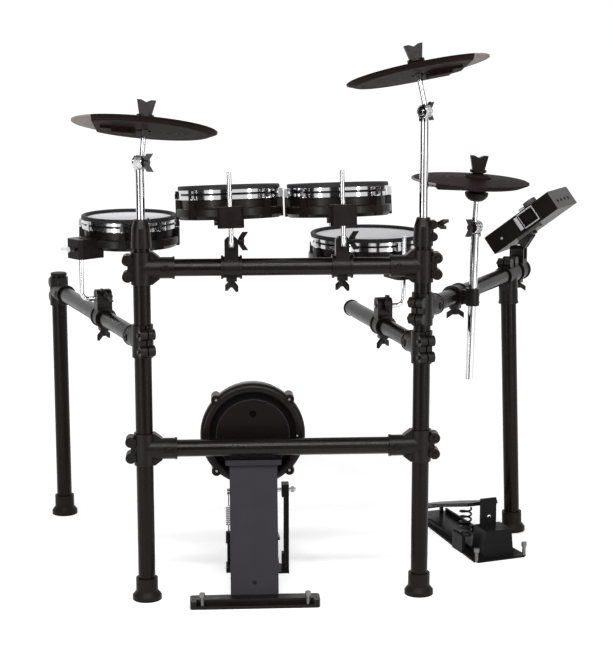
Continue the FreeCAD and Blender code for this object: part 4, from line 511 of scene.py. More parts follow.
def module_frame():
    """Matrix from the row frame into the module's own: X out of the jack end, Z out of the panel."""
    across = Vector(MOUNTS["jack_1"]["axis"])
    normal = joint_axis("module_dial_spin")
    turn = Matrix((across, normal.cross(across), normal)).to_4x4()
    return turn @ Matrix.Translation(-Vector(MOUNTS["jack_1"]["pos_m"]))


def module_plastic(name):
    """Black case with a grey, speckled end plate and underside."""
    finish = Finish(name, finishes().module, 0.4, gloss=0.06)
    place = finish.coords(module_frame())
    x, y, z = finish.split(place)
    end = finish.above(x, JACK_FACE - FACE_MARGIN)
    underside = finish.below(z, FACE_MARGIN - JACK_RISE)
    mask = finish.math("MAXIMUM", end, underside)
    speck = finish.specks(place, 900.0, 4.0)
    dark = tuple(channel * 0.6 for channel in finishes().module_end)
    grey = finish.mix(speck, dark, finishes().module_end)
    finish.drive(finish.mix(mask, finish.clouds(place, 25.0, 0.3), grey), "Base Color")
    finish.grain(place, 1200.0, 0.15, details().edge)
    return finish


def display_glass(name):
    """Dark display glass over faint rows."""
    finish = Finish(name, (0.010, 0.013, 0.017), 0.08, gloss=0.6)
    place = finish.coords(module_frame())
    x, y, z = finish.split(place)
    rows = finish.math("SINE", finish.times(y, FULL_TURN / SCREEN_ROW))
    finish.drive(finish.mix(finish.above(rows, 0.0), finish.tinted(1.0), finish.tinted(1.5)), "Base Color")
    finish.uneven(place, 200.0, 0.05, 0.12)
    return finish


def pale_plastic(name):
    """Pale grey plastic of the module's connector and switch."""
    return coated(name, (0.42, 0.42, 0.43), 0.35, gloss=0.5, clouds=(60.0, 0.1), grain=(1000.0, 0.05))


def key_plastic(name):
    return coated(name, (0.05, 0.05, 0.052), 0.45, gloss=0.4, clouds=(60.0, 0.15), grain=(1000.0, 0.1))


def cover(mesh, material):
    mesh.materials.clear()
    mesh.materials.append(material)


def paint(finish, *names):
    """Gives CAD nodes a shared finish."""
    for name in names:
        cover(NODES[name].data, shared(finish))


def linked(name, data):
    """New object in the scene."""
    item = bpy.data.objects.new(name, data)
    bpy.context.scene.collection.objects.link(item)
    return item


# Trim made here

class Grower(Wiring):
    """A geometry tree under construction, with named inputs."""

    def __init__(self, name, **inputs):
        self.tree = bpy.data.node_groups.new(name, "GeometryNodeTree")
        self.tree.interface.new_socket("Geometry", in_out="OUTPUT", socket_type="NodeSocketGeometry")
        for label, kind in inputs.items():
            self.tree.interface.new_socket(label, in_out="INPUT", socket_type=f"NodeSocket{kind}")
        self.given = self.tree.nodes.new("NodeGroupInput").outputs

    def finish(self, copies):
        """Turns the copies into one mesh with the given finish, and ends the tree."""
        real = self.add("GeometryNodeRealizeInstances", {"Geometry": copies})
        inputs = {"Geometry": real.outputs[0], "Material": self.given["Finish"]}
        painted = self.add("GeometryNodeSetMaterial", inputs)
        end = self.tree.nodes.new("NodeGroupOutput")
        self.tree.links.new(painted.outputs[0], end.inputs[0])
        return self.tree


def ridge_ring():
    """Tree: six-sided ridges along Z, spread evenly on a circle."""
    tree = Grower("ridge_ring", Count="Int", Radius="Float", Ridge="Float", Length="Float", Finish="Material")
    given = tree.given
    circle = tree.add("GeometryNodeMeshCircle", {"Vertices": given["Count"], "Radius": given["Radius"]})
    sizes = {"Vertices": 6, "Radius": given["Ridge"], "Depth": given["Length"]}
    ridge = tree.add("GeometryNodeMeshCylinder", sizes)
    outward = {"Vector": tree.add("GeometryNodeInputPosition").outputs[0]}
    turn = tree.add("FunctionNodeAlignRotationToVector", outward, axis="X", pivot_axis="Z")
    spread = {"Points": circle.outputs[0], "Instance": ridge.outputs[0], "Rotation": turn.outputs[0]}
    return tree.finish(tree.add("GeometryNodeInstanceOnPoints", spread).outputs[0])


def ring_row():
    """Tree: rings of round wire about Z, one above the other."""
    tree = Grower("ring_row", Count="Int", Step="Vector", Radius="Float", Wire="Float", Finish="Material")
    given = tree.given
    line = tree.add("GeometryNodeMeshLine", {"Count": given["Count"], "Offset": given["Step"]})
    loop = tree.add("GeometryNodeCurvePrimitiveCircle", {"Resolution": 32, "Radius": given["Radius"]})
    wire = tree.add("GeometryNodeCurvePrimitiveCircle", {"Resolution": 8, "Radius": given["Wire"]})
    ring = tree.add("GeometryNodeCurveToMesh", {"Curve": loop.outputs[0], "Profile Curve": wire.outputs[0]})
    spread = {"Points": line.outputs[0], "Instance": ring.outputs[0]}
    return tree.finish(tree.add("GeometryNodeInstanceOnPoints", spread).outputs[0])


def grown(maker, finish, **values):
    """Plain mesh of a geometry tree with this finish and these inputs."""
    values["Finish"] = shared(finish)
    tree = bpy.data.node_groups.get(maker.__name__) or maker()
    holder = linked("grown", bpy.data.meshes.new("grown"))
    modifier = holder.modifiers.new("grow", "NODES")
    modifier.node_group = tree
    for item in tree.interface.items_tree:
        if item.in_out == "INPUT":
            modifier[item.identifier] = values[item.name]
    graph = bpy.context.evaluated_depsgraph_get()
    mesh = bpy.data.meshes.new_from_object(holder.evaluated_get(graph))
    holder.modifiers.clear()
    bpy.data.objects.remove(holder)
    if not mesh.polygons:
        raise RuntimeError(f"{maker.__name__} came out empty")
    return mesh


SHARP_ANGLE = math.radians(35.0)
MERGE_DISTANCE = 1e-6
CUT_DISTANCE = 1e-7


def finished(shape):
    """Mesh with outward faces from a bmesh, which is freed."""
    bmesh.ops.recalc_face_normals(shape, faces=shape.faces)
    mesh = bpy.data.meshes.new("trim")
    shape.to_mesh(mesh)
    shape.free()
    mesh.shade_smooth()
    mesh.set_sharp_from_angle(angle=SHARP_ANGLE)
    return mesh


def joined(meshes):
    """One mesh from several that are in place."""
    shape = bmesh.new()
    for mesh in meshes:
        shape.from_mesh(mesh)
    return finished(shape)


def revolved(profile, segments=40):
    """Closed mesh turned about Z from (radius, height) pairs that start and end on the axis."""
    shape = bmesh.new()
    rings = []
    for radius, height in profile:
        steps = segments if radius else 1
        angles = [FULL_TURN * step / segments for step in range(steps)]
        rings.append([shape.verts.new((radius * math.cos(angle), radius * math.sin(angle), height))
                      for angle in angles])
    for lower, upper in zip(rings, rings[1:]):
        for step in range(segments):
            after = (step + 1) % segments
            corners = (lower[step % len(lower)], lower[after % len(lower)], upper[after % len(upper)],
                       upper[step % len(upper)])
            shape.faces.new(list(dict.fromkeys(corners)))
    return finished(shape)


def framed(width, height, border, depth):
    """Rectangular frame in the XY plane round the origin, with sloping inner faces."""
    shape = bmesh.new()
    outer = (width / 2.0, height / 2.0)
    inner = (outer[0] - border, outer[1] - border)
    lip = border * 0.35
    loops = []
    for (x, y), z in ((outer, 0.0), (outer, depth), ((inner[0] + lip, inner[1] + lip), depth), (inner, 0.0)):
        corners = ((-x, -y), (x, -y), (x, y), (-x, y))
        loops.append([shape.verts.new((*corner, z)) for corner in corners])
    for loop, following in zip(loops, loops[1:] + loops[:1]):
        for step in range(4):
            after = (step + 1) % 4
            shape.faces.new((loop[step], loop[after], following[after], following[step]))
    return finished(shape)


def slab(width, height, depth, bevel):
    """Flat slab on the XY plane with a bevelled upper edge."""
    shape = bmesh.new()
    bmesh.ops.create_cube(shape, size=1.0)
    bmesh.ops.scale(shape, vec=(width, height, depth), verts=shape.verts)
    bmesh.ops.translate(shape, vec=(0.0, 0.0, depth / 2.0), verts=shape.verts)
    top = [edge for edge in shape.edges if all(vert.co.z > depth / 2.0 for vert in edge.verts)]
    bmesh.ops.bevel(shape, geom=top, offset=bevel, segments=2, profile=0.5, affect="EDGES")
    return finished(shape)


def screw_head(radius, rise):
    """Button head with a round socket."""
    socket = radius * 0.45
    profile = ((0.0, -rise * 0.4), (radius, -rise * 0.4), (radius, rise * 0.25), (radius * 0.85, rise * 0.75),
               (radius * 0.6, rise), (socket, rise), (socket * 0.95, rise * 0.2), (0.0, rise * 0.2))
    return revolved(profile, 36)


def stand(origin, out, across=ACROSS):
    """Matrix that puts Z along out at the origin, with X as near to across as it can be."""
    up = Vector(out).normalized()
    side = up.cross(across).normalized()
    turn = Matrix((side.cross(up), side, up)).transposed().to_4x4()
    return Matrix.Translation(origin) @ turn


def set_at(mesh, place):
    mesh.transform(place)
    return mesh


def linked_piece(name, mesh, finish):
    """Links a finished mesh as a piece that no body carries yet."""
    mesh.name = name
    cover(mesh, shared(finish))
    piece = linked(name, mesh)
    return piece


def keep_piece(name, mesh, body, finish):
    """Links a finished mesh as a piece that moves with a body."""
    piece = linked_piece(name, mesh, finish)
    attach(piece, body)
    return piece


def keep_made(maker, body, finish, slot, place=Matrix()):
    """Keeps what a maker makes under the maker's name, moved to a place."""
    keep_piece(maker.__name__, set_at(maker(), place), body, finish)


def sliced(node, low=0.0, high=0.0, cuts=0):
    """Copy of a part's mesh, cut level at even heights."""
    shape = bmesh.new()
    shape.from_mesh(NODES[node].data)
    bmesh.ops.remove_doubles(shape, verts=shape.verts, dist=MERGE_DISTANCE)
    for step in range(cuts):
        height = low + (high - low) * (step + 0.5) / cuts
        everything = shape.verts[:] + shape.edges[:] + shape.faces[:]
        bmesh.ops.bisect_plane(shape, geom=everything, dist=CUT_DISTANCE, plane_co=UP * height, plane_no=UP)
    return finished(shape)


# Rack

POST_FEET = (Vector(MOUNTS["front_foot_left"]["pos_m"]), Vector(MOUNTS["front_foot_right"]["pos_m"]))
LEFT_REAR_FOOT = Vector(MOUNTS["rear_foot_left"]["pos_m"])
BAR_HEIGHTS = {"upper": 0.751, "lower": 0.347, "left": 0.590, "right": 0.655, "snare": 0.570}
TEE_NUT_REACH = 0.0532
TEE_NUT_SEAT = 0.0222


def tee_stubs():
    """Place of each tee on a post or leg, with the level way in which its stub runs."""
    left, right = POST_FEET
    left_way = (LEFT_REAR_FOOT - left).normalized()
    right_way = joint_axis("module_tilt")
    snare_way = joint_axis("snare_turn").cross(UP)
    stubs = [(left, ACROSS, "upper"), (left, ACROSS, "lower"), (right, -ACROSS, "upper"),
             (right, -ACROSS, "lower"), (left, left_way, "left"), (right, right_way, "right"),
             (right, snare_way, "snare"), (LEFT_REAR_FOOT, -left_way, "left")]
    return [(foot + UP * BAR_HEIGHTS[bar], way) for foot, way, bar in stubs]


def tee_nuts():
    """Six-sided bosses in the slots on both sides of each stub."""
    profile = ((0.0, -0.001), (0.0092, -0.001), (0.0092, 0.0022), (0.0080, 0.0034), (0.0050, 0.0034),
               (0.0046, 0.0012), (0.0, 0.0012))
    nuts = []
    for centre, way in tee_stubs():
        for side in (-1.0, 1.0):
            out = UP.cross(way) * side
            nut = revolved(profile, 6)
            nuts.append(set_at(nut, stand(centre + way * TEE_NUT_REACH + out * TEE_NUT_SEAT, out, way)))
    return joined(nuts)


class KIT_OT_rack(bpy.types.Operator):
    """Finishes the rack's tubes, clamps, bolts and feet"""
    bl_idname = "kit.rack"
    bl_label = "Rack"

    def execute(self, context):
        paint(powder_coat, "rack_uprights")
        paint(bar_coat, "rack_bars")
        paint(clamp_plastic, "tee_clamps", "mount_clamps", "post_collars", "clamp_bolts")
        paint(foot_rubber, "feet_and_caps")
        keep_made(tee_nuts, "rack", clamp_plastic, "clamp_black")
        return {"FINISHED"}


# Pads

class KIT_OT_pads(bpy.types.Operator):
    """Finishes the drum pads"""
    bl_idname = "kit.pads"
    bl_label = "Drum pads"

    def execute(self, context):
        for drum in (*DRUMS, "kick"):
            paint(kick_plastic if drum == "kick" else shell_plastic, f"{drum}_shell")
            paint(chrome_plate, f"{drum}_hoop")
            paint(mesh_weave, f"{drum}_head")
        for drum in DRUMS:
            paint(rim_rubber, f"{drum}_rim")
            paint(chrome_plate, f"{drum}_rod")
        return {"FINISHED"}


# Cymbals

KNUCKLE_RADIUS = 0.014
KNUCKLE_THICKNESS = 0.009
FACE_RIM_STEP = 0.0006
BOLT_HEAD = 0.005


def ratchet_teeth(cymbal, side):
    """Ridges round one half of a ratchet, on the given side of its joint."""
    tilt = f"{cymbal}_tilt"
    axis = joint_axis(tilt)
    teeth = grown(ridge_ring, chrome_plate, Count=details().teeth, Radius=KNUCKLE_RADIUS,
                  Ridge=details().tooth, Length=KNUCKLE_THICKNESS * 0.8)
    return set_at(teeth, stand(joint_place(tilt) + axis * side * KNUCKLE_THICKNESS / 2.0, axis, UP))


def ratchet_face(cymbal, side):
    """Place on the outer face of one half of a ratchet."""
    tilt = f"{cymbal}_tilt"
    axis = joint_axis(tilt) * side
    return stand(joint_place(tilt) + axis * KNUCKLE_END, axis, UP)


def face_rings(cymbal, side):
    """Bright rim and studs on the outer face of a ratchet."""
    rim = grown(ring_row, chrome_plate, Count=2, Step=UP * FACE_RIM_STEP,
                Radius=KNUCKLE_RADIUS - FACE_RIM_STEP, Wire=0.0011)
    studs = grown(ridge_ring, chrome_plate, Count=8, Radius=0.0104, Ridge=0.0013, Length=0.0016)
    return set_at(joined((rim, studs)), ratchet_face(cymbal, side))


def face_hollow(cymbal, side):
    """Dark dish between the rim and the middle of a ratchet's face."""
    profile = ((0.0, -0.0006), (0.0128, -0.0006), (0.0128, 0.0004), (0.0090, 0.0002), (0.0084, 0.0006),
               (0.0, 0.0006))
    return set_at(revolved(profile), ratchet_face(cymbal, side))


def bolt_place(cymbal):
    return ratchet_face(cymbal, -1.0) @ Matrix.Translation(UP * BOLT_HEAD)


def bolt_cap(cymbal):
    """Turned cap with a rim and an inner ring on the head of the ratchet's bolt."""
    profile = ((0.0, -0.001), (0.0088, -0.001), (0.0088, 0.0008), (0.0080, 0.0014), (0.0068, 0.0014),
               (0.0064, 0.0006), (0.0052, 0.0006), (0.0049, 0.0016), (0.0034, 0.0016), (0.0030, 0.0002),
               (0.0, 0.0002))
    return set_at(revolved(profile), bolt_place(cymbal))


def bolt_socket(cymbal):
    """Six-sided socket in the cap."""
    profile = ((0.0, -0.0004), (0.0046, -0.0004), (0.0046, 0.0020), (0.0030, 0.0020), (0.0028, 0.0005),
               (0.0, 0.0005))
    return set_at(revolved(profile, 6), bolt_place(cymbal))


def hihat_cup_skirt():
    """Rubber skirt below the cup that carries the hi-hat pad."""
    profile = ((0.0, -0.0240), (0.0262, -0.0240), (0.0268, -0.0262), (0.0250, -0.0330), (0.0190, -0.0395),
               (0.0130, -0.0430), (0.0, -0.0430))
    return set_at(revolved(profile), cymbal_frame("hihat").inverted())


class KIT_OT_cymbals(bpy.types.Operator):
    """Finishes the cymbals, their arms, ratchets and nuts"""
    bl_idname = "kit.cymbals"
    bl_label = "Cymbals"

    def execute(self, context):
        for cymbal in CYMBALS:
            arm = f"{cymbal}_arm"
            tilter = f"{cymbal}_tilter"
            cover(NODES[f"{cymbal}_cymbal"].data, cymbal_rubber(cymbal))
            cover(NODES[arm].data, arm_plate(cymbal))
            cover(NODES[tilter].data, tilter_plate(cymbal))
            paint(clamp_plastic, f"{cymbal}_nut")
            halves = ((arm, -1.0), (tilter, 1.0))
            for part, side in halves:
                keep_piece(f"{part}_teeth", ratchet_teeth(cymbal, side), part, chrome_plate)
            for part, side in halves:
                keep_piece(f"{part}_rings", face_rings(cymbal, side), part, chrome_plate)
                keep_piece(f"{part}_hollow", face_hollow(cymbal, side), part, clamp_plastic)
            keep_piece(f"{arm}_bolt_cap", bolt_cap(cymbal), arm, chrome_plate)
            keep_piece(f"{arm}_bolt_socket", bolt_socket(cymbal), arm, clamp_plastic)
        keep_made(hihat_cup_skirt, "hihat_tilter", foot_rubber, "rubber_black")
        return {"FINISHED"}


# Kick

SPUR_RADIUS = 0.004
SPUR_THREAD_START = 0.0085
KICK_SPURS = (Vector((-0.117, -0.0155, 0.0)), Vector((0.117, -0.0155, 0.0)))
TOWER_SCREW = Vector((0.0, 0.0243, 0.045))
TOWER_OUT = Vector((0.0, -0.978, 0.209))
KICK_BOSS_CIRCLE = 0.116
KICK_SCREW_DEPTH = Vector((0.0, 0.0035, 0.0))
DISC_EDGE_INSET = 0.0012
AXLE_NUT_INSET = 0.0105
COIL_TOP = 0.152
STRAP_CUTS = 16
HOOK_CUTS = 10


def spur_threads(spots):
    """Threads on the shanks of the spurs."""
    step = UP * details().thread_pitch
    rows = []
    for spot in spots:
        rings = grown(ring_row, spur_steel, Count=details().threads, Step=step, Radius=SPUR_RADIUS,
                      Wire=details().thread_pitch * 0.35)
        rows.append(set_at(rings, Matrix.Translation(spot + UP * SPUR_THREAD_START)))
    return joined(rows)


def kick_boss_screws():
    """Six-sided screws in the four bosses round the kick pad."""
    screws = grown(ridge_ring, spring_wire, Count=4, Radius=KICK_BOSS_CIRCLE, Ridge=0.0030, Length=0.005)
    turn = Matrix.Rotation(math.pi / 2.0, 4, "X") @ Matrix.Rotation(math.pi / 4.0, 4, "Z")
    return set_at(screws, Matrix.Translation(KICK_BACK + KICK_SCREW_DEPTH) @ turn)


def tower_screw():
    """Screw low on the tower's plate."""
    return set_at(screw_head(radius=0.0045, rise=0.0024), stand(TOWER_SCREW, TOWER_OUT))


def kick_disc_edge_highlight():
    """Thin rounded edge of the disc in the back of the kick pad, in the lighter tower finish as a painted
    highlight.
    """
    edge = grown(ring_row, tower_steel, Count=1, Step=UP, Radius=KICK_DISC - DISC_EDGE_INSET, Wire=0.0009)
    return set_at(edge, Matrix.Translation(KICK_BACK) @ Matrix.Rotation(math.pi / 2.0, 4, "X"))


def axle_nut():
    """Six-sided nut near the end of the pedal's axle."""
    profile = ((0.0, 0.0), (0.0066, 0.0), (0.0074, 0.0006), (0.0074, 0.0062), (0.0066, 0.0068), (0.0, 0.0068))
    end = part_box("kick_axle")[1][0]
    centre = joint_place("kick_axle_turn")
    centre.x = end - AXLE_NUT_INSET
    return set_at(revolved(profile, 6), stand(centre, ACROSS, UP))


def pedal_strap():
    """Strap that hangs from the cam, cut level at even heights."""
    low, high = (Vector(corner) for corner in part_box("kick_strap"))
    mesh = sliced("kick_strap", low.z, high.z, STRAP_CUTS)
    strap = linked_piece("pedal_strap", mesh, woven_strap)
    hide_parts("kick_strap")
    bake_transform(strap)


def return_spring():
    """Spring on the frame, cut level at even heights along its upper hook."""
    high = Vector(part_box("kick_spring")[1])
    low = Vector((high.x, high.y, COIL_TOP))
    mesh = sliced("kick_spring", low.z, high.z, HOOK_CUTS)
    spring = linked_piece("return_spring", mesh, spring_wire)
    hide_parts("kick_spring")
    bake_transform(spring)


class KIT_OT_kick(bpy.types.Operator):
    """Finishes the kick tower and its pedal"""
    bl_idname = "kit.kick"
    bl_label = "Kick"

    def execute(self, context):
        paint(tower_steel, "kick_tower_plate")
        paint(clamp_plastic, "kick_tower_base")
        paint(pedal_metal, "kick_pedal_frame", "kick_footboard")
        paint(axle_finish, "kick_axle")
        paint(beater_finish, "kick_beater")
        paint(spur_steel, "floor_spurs")
        keep_piece("kick_spur_threads", spur_threads(KICK_SPURS), "rack", spur_steel)
        keep_made(tower_screw, "rack", shell_plastic, "plastic_black")
        keep_made(kick_boss_screws, "rack", spring_wire, "spring_steel")
        # Painted highlight: the disc's edge ring takes the lighter finish of the tower.
        keep_made(kick_disc_edge_highlight, "rack", tower_steel, "shell_black")
        keep_made(axle_nut, "kick_axle", spring_wire, "spring_steel")
        pedal_strap()
        return_spring()
        return {"FINISHED"}


# Hi-hat pedal

HIHAT_HINGE_DEPTH = 0.392
HIHAT_HINGE_HEIGHT = 0.026
HIHAT_SPUR_ASIDE = 0.0635
HIHAT_SPUR_DEPTH = 0.0065
TOE_RIVET = Vector((0.001, 0.072, 0.089))


def hihat_pedal_place():
    """Matrix from the pedal's own frame, with its origin on the floor at the toe end."""
    across = joint_axis("hihat_pedal_press")
    back = UP.cross(across)
    hinge = joint_place("hihat_pedal_press")
    return stand(hinge - back * HIHAT_HINGE_DEPTH - UP * HIHAT_HINGE_HEIGHT, UP, across)


def toe_rivet():
    """Rivet on the front of the toe plate, in the pedal's own frame."""
    return set_at(screw_head(radius=0.005, rise=0.0026), stand(TOE_RIVET, FORWARD))


def toe_rivet_shaded_core():
    """Six-sided core of the rivet, black as painted shade in the rivet's socket."""
    profile = ((0.0, 0.0), (0.0028, 0.0), (0.0028, 0.0029), (0.0018, 0.0029), (0.0016, 0.0012), (0.0, 0.0012))
    return set_at(revolved(profile, 6), stand(TOE_RIVET, FORWARD))


class KIT_OT_hihat_pedal(bpy.types.Operator):
    """Finishes the hi-hat pedal"""
    bl_idname = "kit.hihat_pedal"
    bl_label = "Hi-hat pedal"

    def execute(self, context):
        paint(pedal_metal, "hihat_pedal_base", "hihat_footboard")
        place = hihat_pedal_place()
        spring = keep_piece("pedal_spring", sliced("hihat_spring"), "rack", dark_wire)
        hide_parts("hihat_spring")
        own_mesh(spring)
        spots = [place @ Vector((side * HIHAT_SPUR_ASIDE, HIHAT_SPUR_DEPTH, 0.0)) for side in (-1.0, 1.0)]
        keep_piece("hihat_spur_threads", spur_threads(spots), "rack", spur_steel)
        keep_made(toe_rivet, "rack", chrome_plate, "spring_steel", place)
        # Painted shade: the rivet's core is black where its socket is.
        keep_made(toe_rivet_shaded_core, "rack", clamp_plastic, "plastic_black", place)
        return {"FINISHED"}


# Sound module

DIAL_PLACE = Vector((0.041, 0.025, 0.050))
DIAL_RADIUS = 0.017
DIAL_GRIP_RISE = 0.0062
PANEL_RISE = 0.050
SCREEN_CENTRE = Vector((-0.018, 0.092, PANEL_RISE))
RECESS_CENTRE = Vector((0.0255, 0.0, 0.02675))
JACK_START = Vector((0.1025, 0.02975, JACK_RISE))
JACK_PITCH = 0.0255
STRIP_CENTRE = Vector((-0.0035, -0.004, 0.0262))
SWITCH_CENTRE = Vector((0.020, 0.008, PANEL_RISE))
REAR_SCREW = Vector((-0.062, -0.004, 0.022))
BAR_START = 0.021
BAR_WIDTH = 0.022
BAR_THICKNESS = 0.007
BAR_BEVEL = 0.0012
BAR_ASIDE = 0.0100
BRACKET_PLATE = -0.007


def module_place():
    """Matrix from the module's own frame: X to the jacks, Y to the player, Z out of the panel."""
    turn = stand((0.0, 0.0, 0.0), joint_axis("module_dial_spin"), Vector(MOUNTS["jack_1"]["axis"]))
    return Matrix.Translation(joint_place("module_dial_spin") - turn @ DIAL_PLACE) @ turn


def bracket_bars(place):
    """Two flat bars beside the arm, from near the pivot to the plate under the module."""
    pivot = joint_place("module_tilt")
    across = joint_axis("module_tilt")
    plate = place @ Vector((0.0, (place.inverted() @ pivot).y, BRACKET_PLATE))
    way = (plate - pivot).normalized()
    length = (plate - pivot).length - BAR_START
    bars = []
    for side in (-1.0, 1.0):
        bar = slab(BAR_WIDTH, BAR_THICKNESS, length, BAR_BEVEL)
        foot = pivot + way * BAR_START + across * side * BAR_ASIDE
        bars.append(set_at(bar, stand(foot, way, way.cross(across))))
    return joined(bars)


def jack_bushings():
    """Rings round the jacks."""
    step = -FORWARD * JACK_PITCH
    rings = grown(ring_row, clamp_plastic, Count=4, Step=step, Radius=0.0042, Wire=0.0009)
    upright = Matrix.Rotation(math.pi / 2.0, 4, "Y")
    return set_at(rings, Matrix.Translation(JACK_START) @ upright)


def dial_grip():
    """Ridges round the dial."""
    ridges = grown(ridge_ring, key_plastic, Count=40, Radius=DIAL_RADIUS, Ridge=0.0006, Length=0.0095)
    return set_at(ridges, Matrix.Translation(DIAL_PLACE + UP * DIAL_GRIP_RISE))


def screen_bezel():
    bezel = framed(width=0.104, height=0.048, border=0.005, depth=0.0016)
    return set_at(bezel, Matrix.Translation(SCREEN_CENTRE))


def screen_glass():
    pane = slab(width=0.097, height=0.041, depth=0.0009, bevel=0.0003)
    return set_at(pane, Matrix.Translation(SCREEN_CENTRE))


def connector_frame():
    """Frame round the recess in the rear."""
    rear = framed(width=0.047, height=0.0405, border=0.003, depth=0.0012)
    return set_at(rear, stand(RECESS_CENTRE, FORWARD))


def connector_strip():
    """Pale strip beside the recess."""
    strip = slab(width=0.010, height=0.035, depth=0.0014, bevel=0.0005)
    return set_at(strip, stand(STRIP_CENTRE, FORWARD))


def panel_switch():
    switch = slab(width=0.014, height=0.010, depth=0.0065, bevel=0.0012)
    return set_at(switch, Matrix.Translation(SWITCH_CENTRE))


def rear_screw():
    return set_at(screw_head(radius=0.0038, rise=0.0018), stand(REAR_SCREW, FORWARD))


# Trim on the module: maker in the module's own frame, body, finish and slot
MODULE_TRIM = (
    (jack_bushings, "module", clamp_plastic, "plastic_black"),
    (dial_grip, "module_dial", key_plastic, "module_black"),
    (screen_bezel, "module", key_plastic, "module_black"),
    (screen_glass, "module", display_glass, "module_grey"),
    (connector_frame, "module", pale_plastic, "module_grey"),
    (connector_strip, "module", pale_plastic, "module_grey"),
    (panel_switch, "module", pale_plastic, "module_grey"),
    (rear_screw, "module", spring_wire, "spring_steel"),
)


class KIT_OT_module(bpy.types.Operator):
    """Finishes the sound module, its panel and its connectors"""
    bl_idname = "kit.module"
    bl_label = "Sound module"

    def execute(self, context):
        place = module_place()
        paint(module_plastic, "module_case")
        paint(clamp_plastic, "module_bracket")
        paint(key_plastic, "module_dial", "module_key_1", "module_key_2", "module_key_3")
        for trim in MODULE_TRIM:
            keep_made(*trim, place)
        keep_piece("bracket_bars", bracket_bars(place), "module", clamp_plastic)
        return {"FINISHED"}


# Studio

FLOOR = ((-40.0, -40.0), (40.0, -40.0), (40.0, 40.0), (-40.0, 40.0))
FLOOR_GLOW = (0.38, 0.62)
GLOW_RANGE = (0.6, 2.6)
# Ends of the upright cards on the floor, and corners of the mat
CARDS = {"card_front": ((-1.9, -5.0), (0.3, -5.2)), "card_left": ((-4.0, 1.2), (-4.0, -2.4)),
         "card_right": ((4.2, -1.6), (4.2, 0.4))}
CARD_TOP = 3.2
MAT = ((-2.2, -5.2), (-0.2, -5.2), (0.75, -1.1), (-0.15, -1.1))
MAT_RISE = 0.003
WORLD_LIGHT = 0.45
# Lamps: place, the spot they point at, size, and power in watts
LAMPS = {
    "strip_left": ((-1.9, -2.0, 0.96), (0.0, 0.2, 0.96), (0.24, 1.9), 19.0),
    "strip_right": ((2.1, -1.9, 0.96), (0.0, 0.2, 0.96), (0.24, 1.9), 16.0),
    "soft_top": ((0.0, -1.9, 2.9), (0.0, 0.2, 0.5), (3.4, 0.26), 58.0),
    "soft_front": ((0.0, -2.2, 2.05), (0.0, 0.2, 0.6), (3.4, 0.22), 44.0),
}
# Camera fitted to the photograph, with its angles in degrees
FOCAL_PIXELS = 1733.3
SENSOR_WIDTH = 36.0
CAMERA_PLACE = (-0.0928, -3.6689, 1.328)
CAMERA_DIP = 10.684
CAMERA_HEADING = -3.233


def add_area_light(name, place, target, size, power):
    data = bpy.data.lights.new(name, "AREA")
    data.shape = "RECTANGLE"
    data.size, data.size_y = size
    data.energy = power
    lamp = linked(name, data)
    lamp.location = place
    lamp.visible_camera = False
    lamp.rotation_euler = (Vector(target) - Vector(place)).to_track_quat("-Z", "Y").to_euler()


def stage_sheet(name, corners, material):
    mesh = bpy.data.meshes.new(name)
    mesh.from_pydata(corners, [], [(0, 1, 2, 3)])
    mesh.materials.append(material)
    sheet = linked(name, mesh)
    return sheet


def seen_directly(wiring):
    """One for rays that show a surface as it is: to the camera, or in a mirror or glass."""
    path = wiring.add("ShaderNodeLightPath")
    clear = wiring.math("MAXIMUM", path.outputs["Is Glossy Ray"], path.outputs["Is Transmission Ray"])
    return wiring.math("MAXIMUM", path.outputs["Is Camera Ray"], clear)


def make_floor():
    finish = Finish("studio_floor", finishes().floor, 0.8, gloss=0.1)
    finish.shader.inputs["Emission Color"].default_value = (1.0, 1.0, 1.0, 1.0)
    x, y, z = finish.split(finish.coords())
    glow = finish.remap(finish.distance(x, y), *GLOW_RANGE, *FLOOR_GLOW)
    finish.drive(finish.times(seen_directly(finish), glow), "Emission Strength")
    stage_sheet("studio_floor", [(*corner, 0.0) for corner in FLOOR], finish.material)


def only_mirrored(sheet):
    """Keeps a card out of the picture and out of the light, apart from reflections."""
    sheet.visible_camera = False
    sheet.visible_diffuse = False
    sheet.visible_shadow = False


def make_cards():
    """Dark cards behind the camera and at the sides, which only mirrors show."""
    finish = Finish("dark_card", (0.02, 0.02, 0.02), 0.9, gloss=0.1)
    for name, (start, end) in CARDS.items():
        corners = ((*start, 0.0), (*end, 0.0), (*end, CARD_TOP), (*start, CARD_TOP))
        only_mirrored(stage_sheet(name, corners, finish.material))
    corners = [(*corner, MAT_RISE) for corner in MAT]
    only_mirrored(stage_sheet("dark_mat", corners, finish.material))


class WorldWiring(Wiring):
    """The world's tree under construction."""

    def __init__(self, name):
        world = bpy.data.worlds.new(name)
        bpy.context.scene.world = world
        world.use_nodes = True
        self.tree = world.node_tree
        self.shader = self.tree.nodes["Background"]


def make_world():
    """White surround, softer as a light than as a background."""
    wiring = WorldWiring("studio_world")
    strength = wiring.remap(seen_directly(wiring), 0.0, 1.0, WORLD_LIGHT, 1.0)
    wiring.shader.inputs["Color"].default_value = (1.0, 1.0, 1.0, 1.0)
    wiring.drive(strength, "Strength")


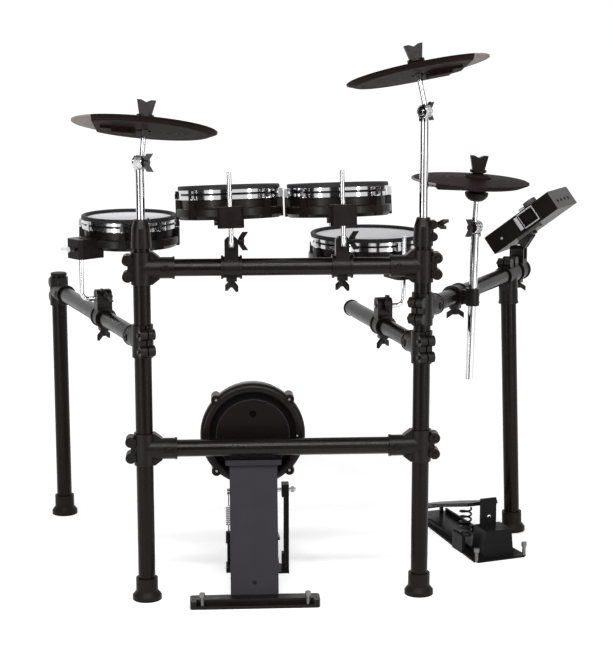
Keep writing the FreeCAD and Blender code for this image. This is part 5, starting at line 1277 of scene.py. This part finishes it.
def make_camera():
    """Camera at the photograph's place: a little left of the middle, above the cymbals' height."""
    data = bpy.data.cameras.new("photo_camera")
    data.sensor_width = SENSOR_WIDTH
    data.lens = FOCAL_PIXELS * SENSOR_WIDTH / max(PHOTO_WIDTH, PHOTO_HEIGHT)
    camera = linked("photo_camera", data)
    camera.location = CAMERA_PLACE
    camera.rotation_euler = Euler((math.radians(90.0 - CAMERA_DIP), 0.0, math.radians(CAMERA_HEADING)))
    bpy.context.scene.camera = camera


class KIT_OT_studio(bpy.types.Operator):
    """Sets the floor, light and camera"""
    bl_idname = "kit.studio"
    bl_label = "Studio"

    def execute(self, context):
        context.scene.view_settings.view_transform = "Standard"
        make_floor()
        make_cards()
        make_world()
        for name, lamp in LAMPS.items():
            add_area_light(name, *lamp)
        make_camera()
        return {"FINISHED"}


class KIT_PT_sidebar(bpy.types.Panel):
    bl_idname = "KIT_PT_sidebar"
    bl_label = "Drum kit"
    bl_space_type = "VIEW_3D"
    bl_region_type = "UI"
    bl_category = "Drum kit"

    def draw(self, context):
        for step in STEPS:
            self.layout.operator(step.bl_idname)
        for group in (context.scene.kit_finishes, context.scene.kit_details):
            for name in group.bl_rna.properties.keys():
                if name not in ("rna_type", "name"):
                    self.layout.prop(group, name)


STEPS = (KIT_OT_studio, KIT_OT_rack, KIT_OT_pads, KIT_OT_cymbals, KIT_OT_kick, KIT_OT_hihat_pedal,
         KIT_OT_module)
CLASSES = (KitFinishes, KitDetails, *STEPS, KIT_PT_sidebar)


def register():
    for item in CLASSES:
        bpy.utils.register_class(item)
    bpy.types.Scene.kit_finishes = bpy.props.PointerProperty(type=KitFinishes)
    bpy.types.Scene.kit_details = bpy.props.PointerProperty(type=KitDetails)


def unregister():
    del bpy.types.Scene.kit_details
    del bpy.types.Scene.kit_finishes
    for item in reversed(CLASSES):
        bpy.utils.unregister_class(item)


def main():
    register()
    bpy.ops.kit.studio()
    bpy.ops.kit.rack()
    bpy.ops.kit.pads()
    bpy.ops.kit.cymbals()
    bpy.ops.kit.kick()
    bpy.ops.kit.hihat_pedal()
    bpy.ops.kit.module()


if __name__ == "__main__":
    main()
